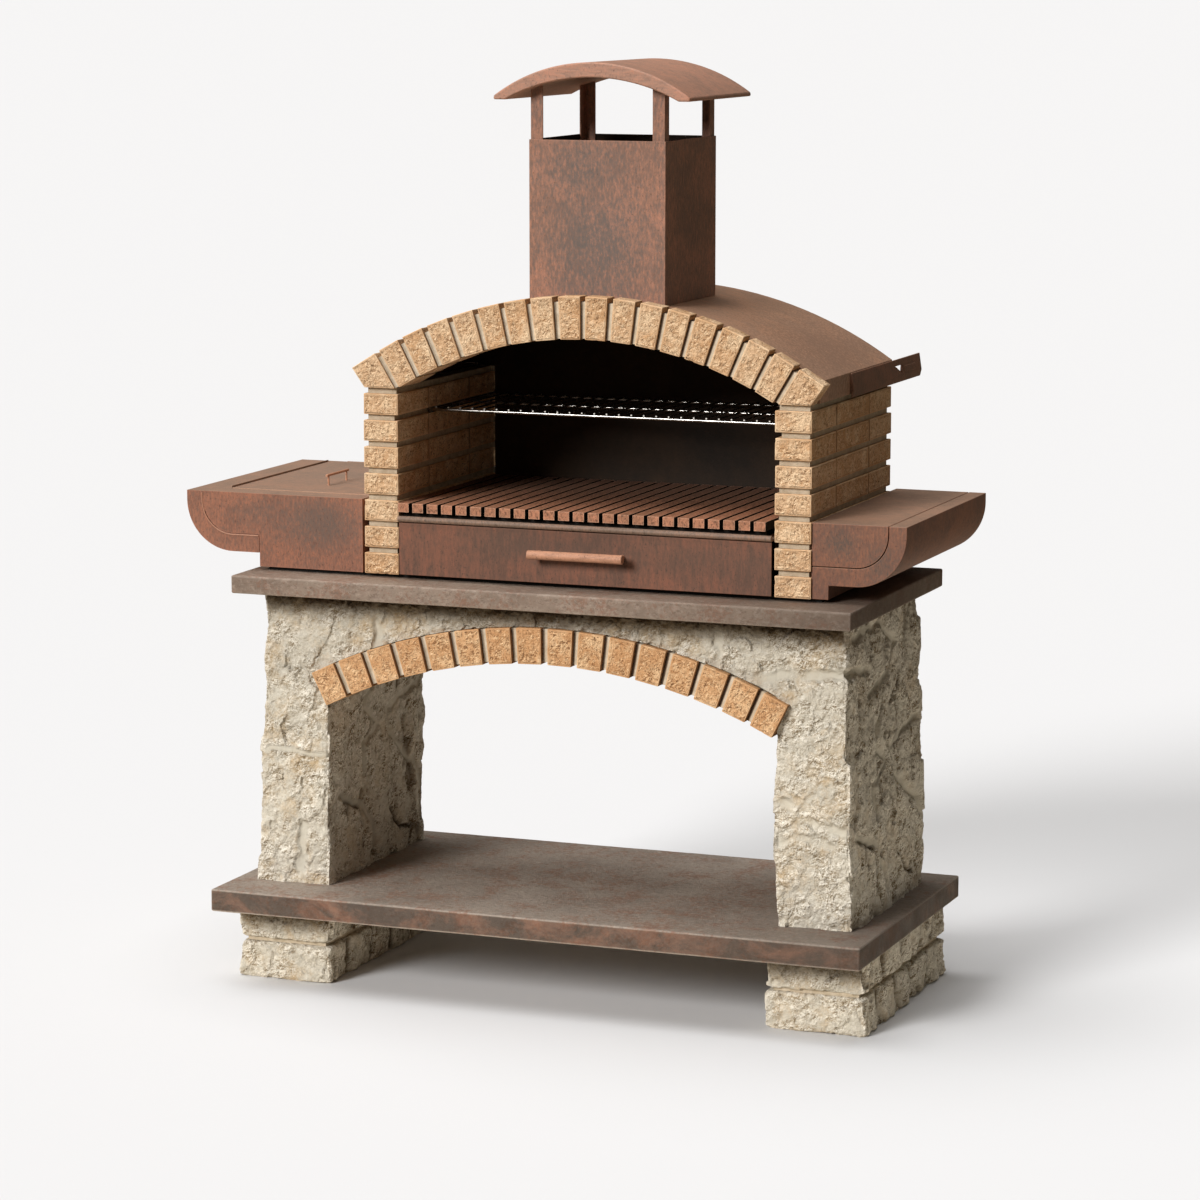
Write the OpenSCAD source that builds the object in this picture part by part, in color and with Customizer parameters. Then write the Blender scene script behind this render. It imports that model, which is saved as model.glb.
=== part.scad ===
// Masonry barbecue oven: stone piers and brick arches carrying two slabs, a brick
// firebox with a sheet-metal hood and chimney, a storage box and a side table.
// Millimetres, Z up, front towards -Y, feet on Z = 0.

/* [Worktop and shelf] */
// Worktop slab, side to side
worktop_width = 1445; // [1400:5:1520]
// Worktop slab, front to back
worktop_depth = 675; // [665:5:740]
// Top face of the worktop above the floor
worktop_height = 930; // [880:5:1000]
// Worktop slab thickness
worktop_thickness = 41; // [32:1:55]
// Shelf slab past the worktop at each side
shelf_side_overhang = 40; // [20:1:60]
// Shelf slab past the worktop at the front
shelf_front_overhang = 42; // [10:1:60]
// Shelf slab past the worktop at the back
shelf_rear_overhang = 27; // [0:1:60]
// Top face of the shelf above the floor
shelf_height = 222; // [190:1:270]
// Shelf slab thickness
shelf_thickness = 51; // [35:1:70]

/* [Stone base] */
// Front of the stone plinths behind the worktop's front edge
plinth_setback = 62; // [30:1:90]
// Plinth stones, front to back
plinth_depth = 600; // [540:5:640]
// Plinth stones past the worktop at each side
plinth_side_reach = 13.5; // [0:0.5:30]
// Plinth stones, side to side
plinth_width = 213; // [180:1:240]
// Height of the lower plinth stones
plinth_lower_height = 84; // [60:1:95]
// Mortar between the two plinth courses
plinth_bed = 8; // [4:1:12]
// Splay of the lower plinth stones at the floor
plinth_splay = 6; // [0:1:10]
// Front of the stone piers behind the worktop's front edge
pier_setback = 88; // [60:1:110]
// Piers, front to back
pier_depth = 532; // [480:2:570]
// Outer face of the piers inside the worktop's sides, at the top
pier_side_inset = 43.5; // [32:0.5:56]
// How far that face leans out on its way down to the shelf
pier_batter = 24; // [12:1:36]
// Width of a pier under the worktop
pier_top_width = 157; // [140:1:172]
// Width of a pier on the shelf
pier_foot_width = 169; // [158:1:184]

/* [Lower brick arch] */
// Inside radius of the lower arch
low_arch_radius = 1163; // [1120:1:1230]
// Depth of its bricks measured along the radius
low_arch_brick = 80; // [65:1:86]
// Number of bricks in it
low_arch_count = 16; // [12:1:19]
// Mortar joint between its bricks
low_arch_joint = 14; // [6:1:18]
// How far its bricks stand out of the stone
low_arch_proud = 18; // [6:1:26]
// Thickness of the arch and the stone above it, front to back
low_arch_depth = 130; // [100:2:180]

/* [Firebox] */
// Middle of the firebox to the right of the worktop's middle
firebox_offset = 83; // [60:1:95]
// Clear width between the brick walls
firebox_inner_width = 875; // [840:5:890]
// Thickness of the brick walls
wall_thickness = 82; // [70:1:90]
// Front of the brick walls behind the worktop's front edge
wall_setback = 92; // [80:1:105]
// Brick walls, front to back
wall_depth = 564; // [540:2:580]
// Height of one brick
brick_height = 46; // [42:0.5:50]
// Bed joint between courses
brick_joint = 13; // [11:0.5:16]
// Number of courses in each wall
courses = 7; // [7:1:8]
// How far the mortar lies behind the brick faces
mortar_recess = 10; // [5:0.5:12]
// Dry gap between bricks of one course
head_gap = 2; // [1:0.5:4]
// Grate frame above that base, over the drawer
grate_height = 120; // [112:1:130]
// Height of the recessed base under the firebox
base_height = 8; // [5:0.5:12]
// How far that base is set in under the units on it
base_inset = 18; // [8:1:30]

/* [Upper arch and hood] */
// Inside radius of the upper arch
arch_radius = 843; // [800:1:900]
// Depth of its bricks measured along the radius
arch_brick = 93; // [80:1:105]
// Number of wedge bricks in it
arch_count = 16; // [12:1:18]
// Mortar joint between its bricks
arch_joint = 12; // [8:0.5:15]
// How far the joints of the upper arch lie behind its face
arch_recess = 7; // [4:0.5:12]
// Part of the arch that shows in front of the hood
arch_front_depth = 45; // [35:1:60]
// Whole arch, front to back
arch_depth = 110; // [90:1:130]
// Arch corner stones past the outer wall faces
skewback_reach = 27; // [15:1:35]
// Thickness of the hood sheet
hood_sheet = 4; // [2.5:0.5:5]
// Hood top below the top of the arch bricks
hood_step = 7; // [3:0.5:10]
// Back edge of the hood in front of the back of the walls
hood_rear_inset = 8; // [4:1:16]
// Length of the bracket plates at the eaves
bracket_length = 505; // [430:5:520]
// Bracket plates past the back of the walls
bracket_reach = 192; // [120:2:200]
// Thickness of the bracket plates
bracket_sheet = 3; // [2:0.5:4]
// Height of the eave bar's face down to its fold
bracket_height = 37; // [32:1:42]
// How far the fold stands out past the top edge
bracket_lean = 5.5; // [2:0.5:10]

/* [Chimney] */
// Flue, side to side
flue_width = 315; // [280:1:340]
// Flue, front to back
flue_depth = 320; // [280:1:330]
// Front of the flue behind the front of the walls
flue_setback = 65; // [58:1:80]
// Middle of the flue to the right of the firebox's middle
flue_offset = 7; // [0:1:15]
// Flue sheet thickness
flue_sheet = 3; // [2:0.5:4]
// Top of the flue above the worktop
flue_height = 967; // [900:1:1040]
// Open height between the flue and the crown of the cap
cap_gap = 135; // [100:1:170]
// Leg width of the corner angle posts
post_leg = 28; // [20:1:34]
// Thickness of the corner angle posts
post_sheet = 4; // [3:0.5:6]
// Cap plate past the flue at the sides
cap_side_overhang = 68; // [40:1:90]
// Cap plate past the flue at front and back
cap_end_overhang = 37; // [20:1:60]
// Rise of the cap between its tips and its crown
cap_rise = 73; // [60:1:90]
// Thickness of the cap at its crown
cap_thickness = 32; // [20:1:36]
// Height of the blunt edge at each tip
cap_tip = 8; // [3:1:12]
// Width of the flat under each tip, about
cap_foot = 42; // [30:1:60]

/* [Drawer] */
// Gap left and right of the drawer front
drawer_side_gap = 4; // [2:0.5:6]
// Thickness of the drawer front
drawer_front_sheet = 4; // [3:0.5:6]
// Drawer tray, front to back
drawer_length = 500; // [400:5:520]
// Thickness of the tray sheet
drawer_sheet = 3; // [2:0.5:4]
// Play between the tray and its runners
drawer_play = 0.6; // [0.3:0.1:1]
// Axis of the drawer handle above the base
handle_height = 68; // [50:1:80]
// Free height of the tray under the grate frame
tray_headroom = 22; // [18:1:40]
// Length of the drawer handle bar
handle_length = 221; // [160:1:300]
// Diameter of the drawer handle bar
handle_diameter = 20; // [14:1:22]
// Free space behind the drawer handle bar
handle_clearance = 24; // [20:1:34]

/* [Grate and grill] */
// Number of grate bars
grate_bar_count = 25; // [18:1:26]
// Width of one grate bar
grate_bar_width = 26; // [18:1:28]
// Height of one grate bar
grate_bar_height = 20; // [14:1:24]
// Free width left to the right of the last bar
grate_spare = 18; // [4:1:24]
// Diameter of the rolled lip in front of the grate
lip_diameter = 13; // [9:1:15]
// Front rod of the grill behind the front of the walls
grill_setback = 178; // [120:2:240]
// Grill, front to back
grill_depth = 350; // [250:5:360]
// Number of thin grill rods
grill_rod_count = 30; // [20:1:34]
// Diameter of the thin grill rods
grill_rod = 4; // [3:0.5:5]
// Diameter of the grill's frame rods
grill_frame_rod = 7; // [5:0.5:8]

/* [Storage box and side table] */
// Storage box, side to side
box_width = 433; // [400:1:450]
// Part of the storage box that stands on the base
box_foot = 254; // [220:1:270]
// Side table, side to side
table_width = 210; // [190:1:240]
// Part of the side table that stands on the base
table_foot = 38; // [30:1:50]
// Radius of the rounded outer lower edge
side_radius = 113; // [95:1:120]
// Width of the border band along that edge
side_band = 40; // [30:1:50]
// Height of box and table
side_height = 164; // [156:1:176]
// Height of the upright rim above the rounded edge
side_lip = 20.5; // [16:0.5:26]
// Lid behind the front of the storage box
lid_setback = 60; // [40:1:80]
// Lid inside the outer side of the storage box
lid_side_inset = 84; // [70:1:110]
// Sheet thickness of box and table
side_sheet = 4; // [3:0.5:5]
// Gap between the storage box and the brick wall
box_gap = 8; // [4:1:12]
// Box and table, front to back
side_depth = 602; // [580:2:640]
// Gap around the storage box lid
lid_gap = 3.25; // [1.5:0.25:4]
// Thickness of the lid
lid_thickness = 4; // [3:0.5:5]
// Diameter of the hinge pins
pin_diameter = 3.6; // [2.5:0.1:4]
// Play of the lid on its pins, on the radius
pin_play = 0.08; // [0.05:0.01:0.1]
// Diameter of the lid handle rod
lid_handle_rod = 6; // [5:0.5:8]
// Height of the lid handle above the lid
lid_handle_height = 26; // [22:1:36]
// Length of the lid handle's rod
lid_handle_length = 116; // [80:2:160]

/* [Hidden] */
$fn = 96;
eps = 0.01;
seam = 0.03;
touch = 0.3;

far = 4000;

z_top = worktop_height;
z_unit = z_top + base_height;
pitch = brick_height + brick_joint;
z_spring = z_unit + courses * pitch;
x_shelf = worktop_width / 2 + shelf_side_overhang;
plinth_outer = worktop_width / 2 + plinth_side_reach;
plinth_inner = plinth_outer - plinth_width;
pier_outer_top = worktop_width / 2 - pier_side_inset;
pier_inner_top = pier_outer_top - pier_top_width;
pier_outer_foot = pier_outer_top + pier_batter;
pier_inner_foot = pier_outer_foot - pier_foot_width;

in_half = firebox_inner_width / 2;
out_half = in_half + wall_thickness;
y_wall = wall_setback;
y_wall_back = wall_setback + wall_depth;
brick_cuts = [0, 0.303, 0.713, 1];

span = asin(in_half / arch_radius);
z_arch = z_spring - arch_radius * cos(span);
arch_out = arch_radius + arch_brick;
arch_pitch = 2 * span / arch_count;
arch_gap = arch_joint / (arch_radius + arch_brick / 2) * 180 / PI;
arch_seam = seam / arch_radius * 180 / PI;
y_arch = y_wall - 2;
hood_out = arch_out - hood_step;
hood_in = hood_out - hood_sheet;
y_hood = y_arch + arch_front_depth + 0.5;
y_hood_back = y_wall_back - hood_rear_inset;
flange = out_half + 3.5;
soffit = in_half + wall_thickness / 2 + 2;
spring_cos = arch_radius * cos(span);

low_half = pier_inner_top - 1;
low_span = asin(min(0.9, (low_half + 4) / low_arch_radius));
low_crown = worktop_height - worktop_thickness - 47;
z_low = low_crown - low_arch_radius - low_arch_brick;
low_out = low_arch_radius + low_arch_brick;
low_gap = low_arch_joint / (low_arch_radius + low_arch_brick / 2) * 180 / PI;
low_seam = seam / low_arch_radius * 180 / PI;
low_pitch = (2 * low_span + low_gap) / low_arch_count;
y_low = pier_setback - low_arch_proud;
y_low_back = pier_setback + low_arch_depth;

x_flue = firebox_offset + flue_offset;
y_flue = y_wall + flue_setback;
z_flue = z_top + flue_height;
z_cap = z_flue + cap_gap + cap_thickness;
cap_half = flue_width / 2 + cap_side_overhang;
cap_r = (cap_half * cap_half + cap_rise * cap_rise) / (2 * cap_rise);
cap_low_half = cap_half - cap_foot;
cap_low_rise = cap_rise - cap_thickness;
cap_low_r = (cap_low_half * cap_low_half + cap_low_rise * cap_low_rise) / (2 * cap_low_rise);
z_cap_low = z_cap - cap_thickness - cap_low_r;

z_lip = z_unit + grate_height;
z_bars = z_lip + 21;
y_front = y_wall - 6;
y_back_panel = y_hood_back - 8;
grate_left = firebox_offset - in_half + 1.5;
grate_width = firebox_inner_width - 1.5 - grate_spare;
bar_pitch = (grate_width - grate_bar_width) / (grate_bar_count - 1);
tray_half = in_half - 17.5;
z_tray = z_unit + 5.5 + drawer_play;
z_slot = z_unit + (courses - 2) * pitch + brick_height;
grill_side_rod = 8;
z_grill = z_slot + touch + grill_side_rod - 2.6 + grill_frame_rod / 2 - 0.8;
y_grill = y_wall + grill_setback;

y_side = y_wall + 6;
x_box = firebox_offset - out_half - box_gap;
x_table = firebox_offset + out_half;
lid_near = 10;
lid_far = box_width - lid_side_inset;
y_lid = y_side + lid_setback;
y_lid_back = y_side + side_depth - 15;
z_side_top = z_unit + side_height;
z_lid = z_side_top - 2;
z_pin = z_lid + 1.6;
lid_rear_gap = 3.2;
knuckle = 3.5;
hinge_at = [70, 280];

x_low_end = x_box - box_width;
x_high_end = x_table + table_width;
y_high_end = y_wall_back + bracket_reach;
shift = [-(x_low_end + x_high_end) / 2, -(y_high_end - shelf_front_overhang) / 2, 0];

// Moves a shape drawn from the worktop's front middle to the middle of the footprint
module placed() { translate(shift) children(); }

// Extrudes a shape drawn in the XZ plane from y0 back to y1
module along_y(y0, y1) {
    translate([0, y1, 0]) rotate([90, 0, 0]) linear_extrude(height = y1 - y0) children();
}

// Block between two corners
module block(a, b) { translate(a) cube([b[0] - a[0], b[1] - a[1], b[2] - a[2]]); }

// Mirrors a shape to the left side when s is -1
module sided(s) { if (s < 0) mirror([1, 0, 0]) children(); else children(); }

// Four-sided piece of a ring between two angles from the vertical
module ring_piece(a0, a1, r0, r1) {
    polygon([[r0 * sin(a0), r0 * cos(a0)], [r1 * sin(a0), r1 * cos(a0)],
        [r1 * sin(a1), r1 * cos(a1)], [r0 * sin(a1), r0 * cos(a1)]]);
}

// Group: stone base

module plinth_course(s, z0, z1, splay) {
    color([0.78, 0.74, 0.65]) placed() sided(s)
        along_y(plinth_setback, plinth_setback + plinth_depth)
            polygon([[plinth_inner - splay / 2, z0], [plinth_outer + splay, z0],
                [plinth_outer, z1], [plinth_inner, z1]]);
}

module plinth_mortar(s) {
    color([0.62, 0.58, 0.52]) placed() sided(s)
        block([plinth_inner + mortar_recess, plinth_setback + mortar_recess, plinth_lower_height],
            [plinth_outer - mortar_recess, plinth_setback + plinth_depth - mortar_recess,
                plinth_lower_height + plinth_bed]);
}

module plinth_left_lower() { plinth_course(-1, 0, plinth_lower_height, plinth_splay); }
module plinth_right_lower() { plinth_course(1, 0, plinth_lower_height, plinth_splay); }
module plinth_left_bed() { plinth_mortar(-1); }
module plinth_right_bed() { plinth_mortar(1); }
module plinth_left_upper() {
    plinth_course(-1, plinth_lower_height + plinth_bed, shelf_height - shelf_thickness, 0);
}
module plinth_right_upper() {
    plinth_course(1, plinth_lower_height + plinth_bed, shelf_height - shelf_thickness, 0);
}

module lower_shelf() {
    color([0.36, 0.30, 0.28]) placed()
        block([-x_shelf, -shelf_front_overhang, shelf_height - shelf_thickness],
            [x_shelf, worktop_depth + shelf_rear_overhang, shelf_height]);
}

// Seat of the lower arch: the sector its bricks and joints fill, with a thin clearance
module low_arch_seat() {
    a = low_span + touch / 20;
    along_y(y_low - 1, y_low_back + 1) translate([0, z_low]) intersection() {
        difference() { circle(r = low_out + touch, $fn = 180); circle(r = low_arch_radius - 40, $fn = 180); }
        polygon([[0, 0], [-far * sin(a), far * cos(a)], [far * sin(a), far * cos(a)]]);
    }
}

// One pier: leaning inner and outer faces, cut at the top inside for the arch's end
module pier(s) {
    color([0.80, 0.76, 0.67]) placed() difference() {
        sided(s) along_y(pier_setback, pier_setback + pier_depth)
            polygon([[pier_inner_foot, shelf_height], [pier_outer_foot, shelf_height],
                [pier_outer_top, z_top - worktop_thickness],
                [pier_inner_top, z_top - worktop_thickness]]);
        low_arch_seat();
    }
}

module pier_left() { pier(-1); }
module pier_right() { pier(1); }

// Stone filling between the piers, over the arch bricks
module arch_stone() {
    color([0.78, 0.74, 0.66]) placed() difference() {
        along_y(pier_setback, y_low_back) intersection() {
            polygon([[-pier_inner_top, z_top - worktop_thickness], [pier_inner_top, z_top - worktop_thickness],
                [pier_inner_foot, shelf_height], [-pier_inner_foot, shelf_height]]);
            translate([-far / 2, z_low + low_out * cos(low_span)]) square([far, far / 2]);
        }
        along_y(0, far) translate([0, z_low]) circle(r = low_out + touch, $fn = 180);
    }
}

module lower_arch_bricks() {
    color([0.78, 0.55, 0.34]) placed() along_y(y_low, y_low_back) translate([0, z_low])
        for (i = [0 : low_arch_count - 1])
            ring_piece(-low_span + i * low_pitch, -low_span + (i + 1) * low_pitch - low_gap,
                low_arch_radius, low_out);
}

module lower_arch_mortar() {
    color([0.62, 0.58, 0.52]) placed()
        along_y(y_low + mortar_recess, y_low_back) translate([0, z_low])
            for (i = [1 : low_arch_count - 1])
                ring_piece(-low_span + i * low_pitch - low_gap + low_seam, -low_span + i * low_pitch - low_seam,
                    low_arch_radius + mortar_recess / 2, low_out - 2);
}

module worktop() {
    color([0.38, 0.32, 0.30]) placed()
        block([-worktop_width / 2, 0, z_top - worktop_thickness],
            [worktop_width / 2, worktop_depth, z_top]);
}

// Group: brick firebox

module firebox_base() {
    color([0.12, 0.11, 0.10]) placed()
        block([x_box - box_foot + base_inset, y_wall + base_inset, z_top],
            [x_table + table_foot - base_inset, y_back_panel + hood_sheet, z_unit]);
}

// Bricks of one wall: three to a course, drawn for the right side of a middle line
module wall_bricks(s) {
    color([0.80, 0.62, 0.42]) placed() translate([firebox_offset, 0, 0]) sided(s)
        for (k = [0 : courses - 1], j = [0 : 2])
            block([in_half, y_wall + wall_depth * brick_cuts[j] + (j > 0 ? head_gap / 2 : 0),
                    z_unit + k * pitch],
                [out_half, y_wall + wall_depth * brick_cuts[j + 1] - (j < 2 ? head_gap / 2 : 0),
                    z_unit + k * pitch + brick_height]);
}

// Mortar beds of one wall, full at the back panel's edge; the bed under the top course is cut deeper as
// the grill's slot
module wall_mortar(s) {
    color([0.62, 0.58, 0.52]) placed() translate([firebox_offset, 0, 0]) sided(s)
        for (k = [0 : courses - 1]) union() {
            block([in_half, y_back_panel - 3, z_unit + k * pitch + brick_height],
                [in_half + 14, y_wall_back - mortar_recess, z_unit + (k + 1) * pitch]);
            block([in_half + (k == courses - 2 ? 12 : mortar_recess * 0.7), y_wall + mortar_recess,
                    z_unit + k * pitch + brick_height],
                [out_half - mortar_recess * 0.7, y_wall_back - mortar_recess,
                    z_unit + (k + 1) * pitch]);
        }
}

module wall_left_bricks() { wall_bricks(-1); }
module wall_right_bricks() { wall_bricks(1); }
module wall_left_mortar() { wall_mortar(-1); }
module wall_right_mortar() { wall_mortar(1); }

// Wedge bricks, stepped on top behind the face so that the hood sheet lies in the step
module upper_arch_bricks() {
    color([0.82, 0.64, 0.44]) placed() translate([firebox_offset, 0, z_arch])
        for (i = [0 : arch_count - 1]) {
            a0 = -span + i * arch_pitch + arch_gap / 2;
            a1 = -span + (i + 1) * arch_pitch - arch_gap / 2;
            union() {
                along_y(y_arch, y_arch + arch_front_depth) ring_piece(a0, a1, arch_radius, arch_out);
                along_y(y_arch + arch_front_depth - eps, y_arch + arch_depth)
                    ring_piece(a0, a1, arch_radius, hood_in - 0.5);
            }
        }
}

// Corner stone of the arch: sits on the wall, slopes out past it, lower part runs back
module skewback(s) {
    a = span + arch_gap / 2;
    tip = out_half + skewback_reach;
    reach = (tip - arch_out * sin(a)) / cos(a);
    xm = in_half + wall_thickness / 2;
    color([0.82, 0.64, 0.44]) placed() translate([firebox_offset, 0, z_arch]) sided(s) union() {
        along_y(y_arch, y_arch + arch_front_depth)
            polygon([[spring_cos * tan(a), spring_cos], [arch_out * sin(a), arch_out * cos(a)],
                [tip, arch_out * cos(a) - reach * sin(a)], [out_half - 3, spring_cos]]);
        along_y(y_arch + arch_front_depth - eps, y_arch + arch_depth)
            polygon([[spring_cos * tan(a), spring_cos], [xm, xm / tan(a)], [xm, spring_cos]]);
    }
}

module skewback_left() { skewback(-1); }
module skewback_right() { skewback(1); }

module upper_arch_mortar() {
    color([0.66, 0.61, 0.54]) placed() translate([firebox_offset, 0, z_arch])
        along_y(y_arch + arch_recess, y_arch + arch_depth)
            for (i = [0 : arch_count])
                ring_piece(-span + i * arch_pitch - arch_gap / 2 + arch_seam,
                    -span + i * arch_pitch + arch_gap / 2 - arch_seam,
                    arch_radius + (i == 0 || i == arch_count ? 4 : 2), hood_in - 1);
}

module fire_back() {
    color([0.16, 0.13, 0.12]) placed() along_y(y_back_panel, y_back_panel + hood_sheet)
        translate([firebox_offset, 0]) {
            translate([-in_half + 1, z_unit]) square([2 * in_half - 2, z_spring - z_unit + 10]);
            translate([0, z_arch]) intersection() {
                circle(r = hood_in - touch, $fn = 180);
                union() {
                    translate([-flange + hood_sheet + 1, spring_cos + hood_sheet + 0.5])
                        square([2 * (flange - hood_sheet - 1), far]);
                    translate([-soffit + 1, spring_cos + touch]) square([2 * (soffit - 1), 20]);
                }
            }
        }
}

// Vaulted sheet with upright eaves turned in over the walls, and the flue opening
module hood() {
    color([0.42, 0.29, 0.24]) placed() difference() {
        along_y(y_hood, y_hood_back) translate([firebox_offset, z_arch]) difference() {
            intersection() {
                circle(r = hood_out, $fn = 180);
                translate([-flange, spring_cos]) square([2 * flange, far]);
            }
            intersection() {
                circle(r = hood_in, $fn = 180);
                translate([-flange + hood_sheet, spring_cos + hood_sheet])
                    square([2 * (flange - hood_sheet), far]);
            }
            translate([-soffit, spring_cos - 1]) square([2 * soffit, hood_sheet + 2]);
        }
        block([x_flue - flue_width / 2 + 10, max(y_flue + 10, y_arch + arch_depth + 4), z_spring + 60],
            [x_flue + flue_width / 2 - 10, y_flue + flue_depth - 10, z_spring + far]);
    }
}

// Bar along the hood's eave that runs out behind the oven: its face leans out down to a fold and turns in
// under it; behind the wall it has a three-cornered hole and a raised pad
module eave_bracket(s) {
    z1 = sqrt(hood_out * hood_out - flange * flange) - 2;
    zf = z1 - bracket_height;
    lean = bracket_lean / bracket_height;
    x1 = flange + bracket_sheet;
    ye = y_wall_back + bracket_reach;
    yh = y_wall_back + 1;
    color([0.45, 0.31, 0.26]) placed() translate([firebox_offset, 0, z_arch]) sided(s) difference() {
        union() {
            along_y(ye - bracket_length, ye)
                polygon([[flange, z1], [x1, z1], [x1 + bracket_lean, zf], [x1 + 2, zf - 15],
                    [flange + 2, zf - 15], [flange + 2, zf + 1], [flange, zf + 5]]);
            along_y(yh + 60, yh + 142)
                polygon([[x1 + lean * 17 - 1, z1 - 17], [x1 + lean * 18 + 1.4, z1 - 18],
                    [x1 + lean * 32 + 1.4, z1 - 32], [x1 + lean * 33 - 1, z1 - 33]]);
        }
        translate([flange - 5, 0, 0]) rotate([90, 0, 90]) linear_extrude(height = 30)
            polygon([[yh, z1 - 14], [yh + 53, z1 - 14], [yh + 50, z1 - 34]]);
    }
}

module eave_bracket_left() { eave_bracket(-1); }
module eave_bracket_right() { eave_bracket(1); }

// Group: chimney

module chimney_flue() {
    color([0.47, 0.29, 0.22]) placed() difference() {
        block([x_flue - flue_width / 2, y_flue, z_spring],
            [x_flue + flue_width / 2, y_flue + flue_depth, z_flue]);
        block([x_flue - flue_width / 2 + flue_sheet, y_flue + flue_sheet, z_spring - 1],
            [x_flue + flue_width / 2 - flue_sheet, y_flue + flue_depth - flue_sheet, z_flue + 1]);
        along_y(0, far) translate([firebox_offset, z_arch]) circle(r = hood_out + touch, $fn = 180);
    }
}

module chimney_posts() {
    w = flue_width / 2 - flue_sheet;
    d = flue_depth / 2 - flue_sheet;
    color([0.52, 0.31, 0.23]) placed() intersection() {
        translate([x_flue, y_flue + flue_depth / 2, 0]) for (sx = [-1, 1], sy = [-1, 1])
            scale([sx, sy, 1]) translate([0, 0, z_flue - 60]) difference() {
                translate([w - post_leg, d - post_leg, 0]) cube([post_leg, post_leg, 60 + cap_gap]);
                translate([w - post_leg - 1, d - post_leg - 1, -1])
                    cube([post_leg - post_sheet + 1, post_leg - post_sheet + 1, cap_gap + 62]);
            }
        along_y(0, far) translate([x_flue, z_cap_low]) circle(r = cap_low_r - touch, $fn = 180);
    }
}

// Arched plate, thick at the crown, thin at the tips, flat under the tips
module chimney_cap() {
    color([0.48, 0.28, 0.21]) placed()
        along_y(y_flue - cap_end_overhang, y_flue + flue_depth + cap_end_overhang)
            translate([x_flue, 0]) difference() {
                intersection() {
                    translate([0, z_cap - cap_r]) circle(r = cap_r, $fn = 180);
                    translate([-cap_half, z_cap - cap_rise - cap_tip]) square([2 * cap_half, far]);
                }
                translate([0, z_cap_low]) circle(r = cap_low_r, $fn = 180);
            }
}

// Group: drawer

module drawer_front() {
    color([0.45, 0.28, 0.22]) placed() translate([firebox_offset, 0, 0])
        block([-in_half + drawer_side_gap, y_front, z_unit + 2],
            [in_half - drawer_side_gap, y_front + drawer_front_sheet, z_lip - 2]);
}

module drawer_tray() {
    y0 = y_front + drawer_front_sheet;
    color([0.30, 0.24, 0.21]) placed() translate([firebox_offset, 0, 0]) difference() {
        block([-tray_half, y0, z_tray], [tray_half, y0 + drawer_length, z_lip - tray_headroom]);
        block([-tray_half + drawer_sheet, y0 + drawer_sheet, z_tray + drawer_sheet],
            [tray_half - drawer_sheet, y0 + drawer_length - drawer_sheet, z_lip]);
    }
}

module drawer_handle_bar() {
    yb = y_front - handle_clearance - handle_diameter / 2;
    color([0.52, 0.29, 0.22]) placed() translate([firebox_offset - 3, yb, z_unit + handle_height])
        rotate([0, 90, 0]) cylinder(h = handle_length, d = handle_diameter, center = true);
}

module drawer_handle_posts() {
    yb = y_front - handle_clearance - handle_diameter / 2;
    color([0.40, 0.24, 0.19]) placed() difference() {
        for (s = [-1, 1]) translate([firebox_offset - 3 + s * (handle_length / 2 - 14), y_front, z_unit + handle_height])
            rotate([90, 0, 0]) cylinder(h = y_front - yb, d = 12);
        translate([firebox_offset - 3, yb, z_unit + handle_height]) rotate([0, 90, 0])
            cylinder(h = handle_length + 20, d = handle_diameter + 2 * touch, center = true);
    }
}

// Pair of runners: a flat under the tray's edge and an upright beside it
module drawer_runners() {
    color([0.25, 0.23, 0.22]) placed() translate([firebox_offset, 0, 0]) for (s = [-1, 1]) sided(s) {
        block([tray_half - 18, y_wall + 20, z_unit], [tray_half + drawer_play, y_back_panel - 4, z_unit + 5.5]);
        block([tray_half + drawer_play - eps, y_wall + 20, z_unit],
            [tray_half + drawer_play + 4, y_back_panel - 4, z_unit + 26]);
    }
}

// Group: grate

module grate_ledges() {
    color([0.22, 0.20, 0.19]) placed() translate([firebox_offset, 0, 0]) for (s = [-1, 1]) sided(s) {
        block([in_half - 16, y_wall + 14, z_lip - 3], [in_half, y_back_panel - 4, z_lip]);
        block([in_half - 3, y_wall + 14, z_lip - 14], [in_half, y_back_panel - 4, z_lip - 3 + eps]);
    }
}

// Flat frame with the rolled lip along its front
module grate_frame() {
    h = in_half - 3.5;
    color([0.34, 0.29, 0.26]) placed() translate([firebox_offset, 0, 0]) union() {
        difference() {
            block([-h, y_front - 2, z_lip], [h, y_back_panel - 8, z_lip + 5]);
            block([-h + 26, y_wall + 16, z_lip - 1], [h - 26, y_back_panel - 34, z_lip + 6]);
        }
        translate([0, y_front - 2, z_lip + lip_diameter / 2]) rotate([0, 90, 0])
            cylinder(h = 2 * h, d = lip_diameter, center = true);
    }
}

module grate_bearers() {
    color([0.26, 0.22, 0.20]) placed()
        for (y = [y_wall + 14, y_wall + wall_depth * 0.46, y_back_panel - 36])
            block([grate_left + 6, y, z_lip + 5], [grate_left + grate_width - 6, y + 8, z_bars]);
}

module grate_bars() {
    color([0.55, 0.33, 0.26]) placed()
        for (i = [0 : grate_bar_count - 1]) translate([grate_left + i * bar_pitch, 0, z_bars])
            difference() {
                block([0, y_front, 0], [grate_bar_width, y_back_panel - 10, grate_bar_height]);
                translate([-1, y_front - 1, grate_bar_height - 1.5]) rotate([45, 0, 0])
                    translate([0, -4, 0]) cube([grate_bar_width + 2, 8, 4]);
            }
}

// Group: grill

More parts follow.
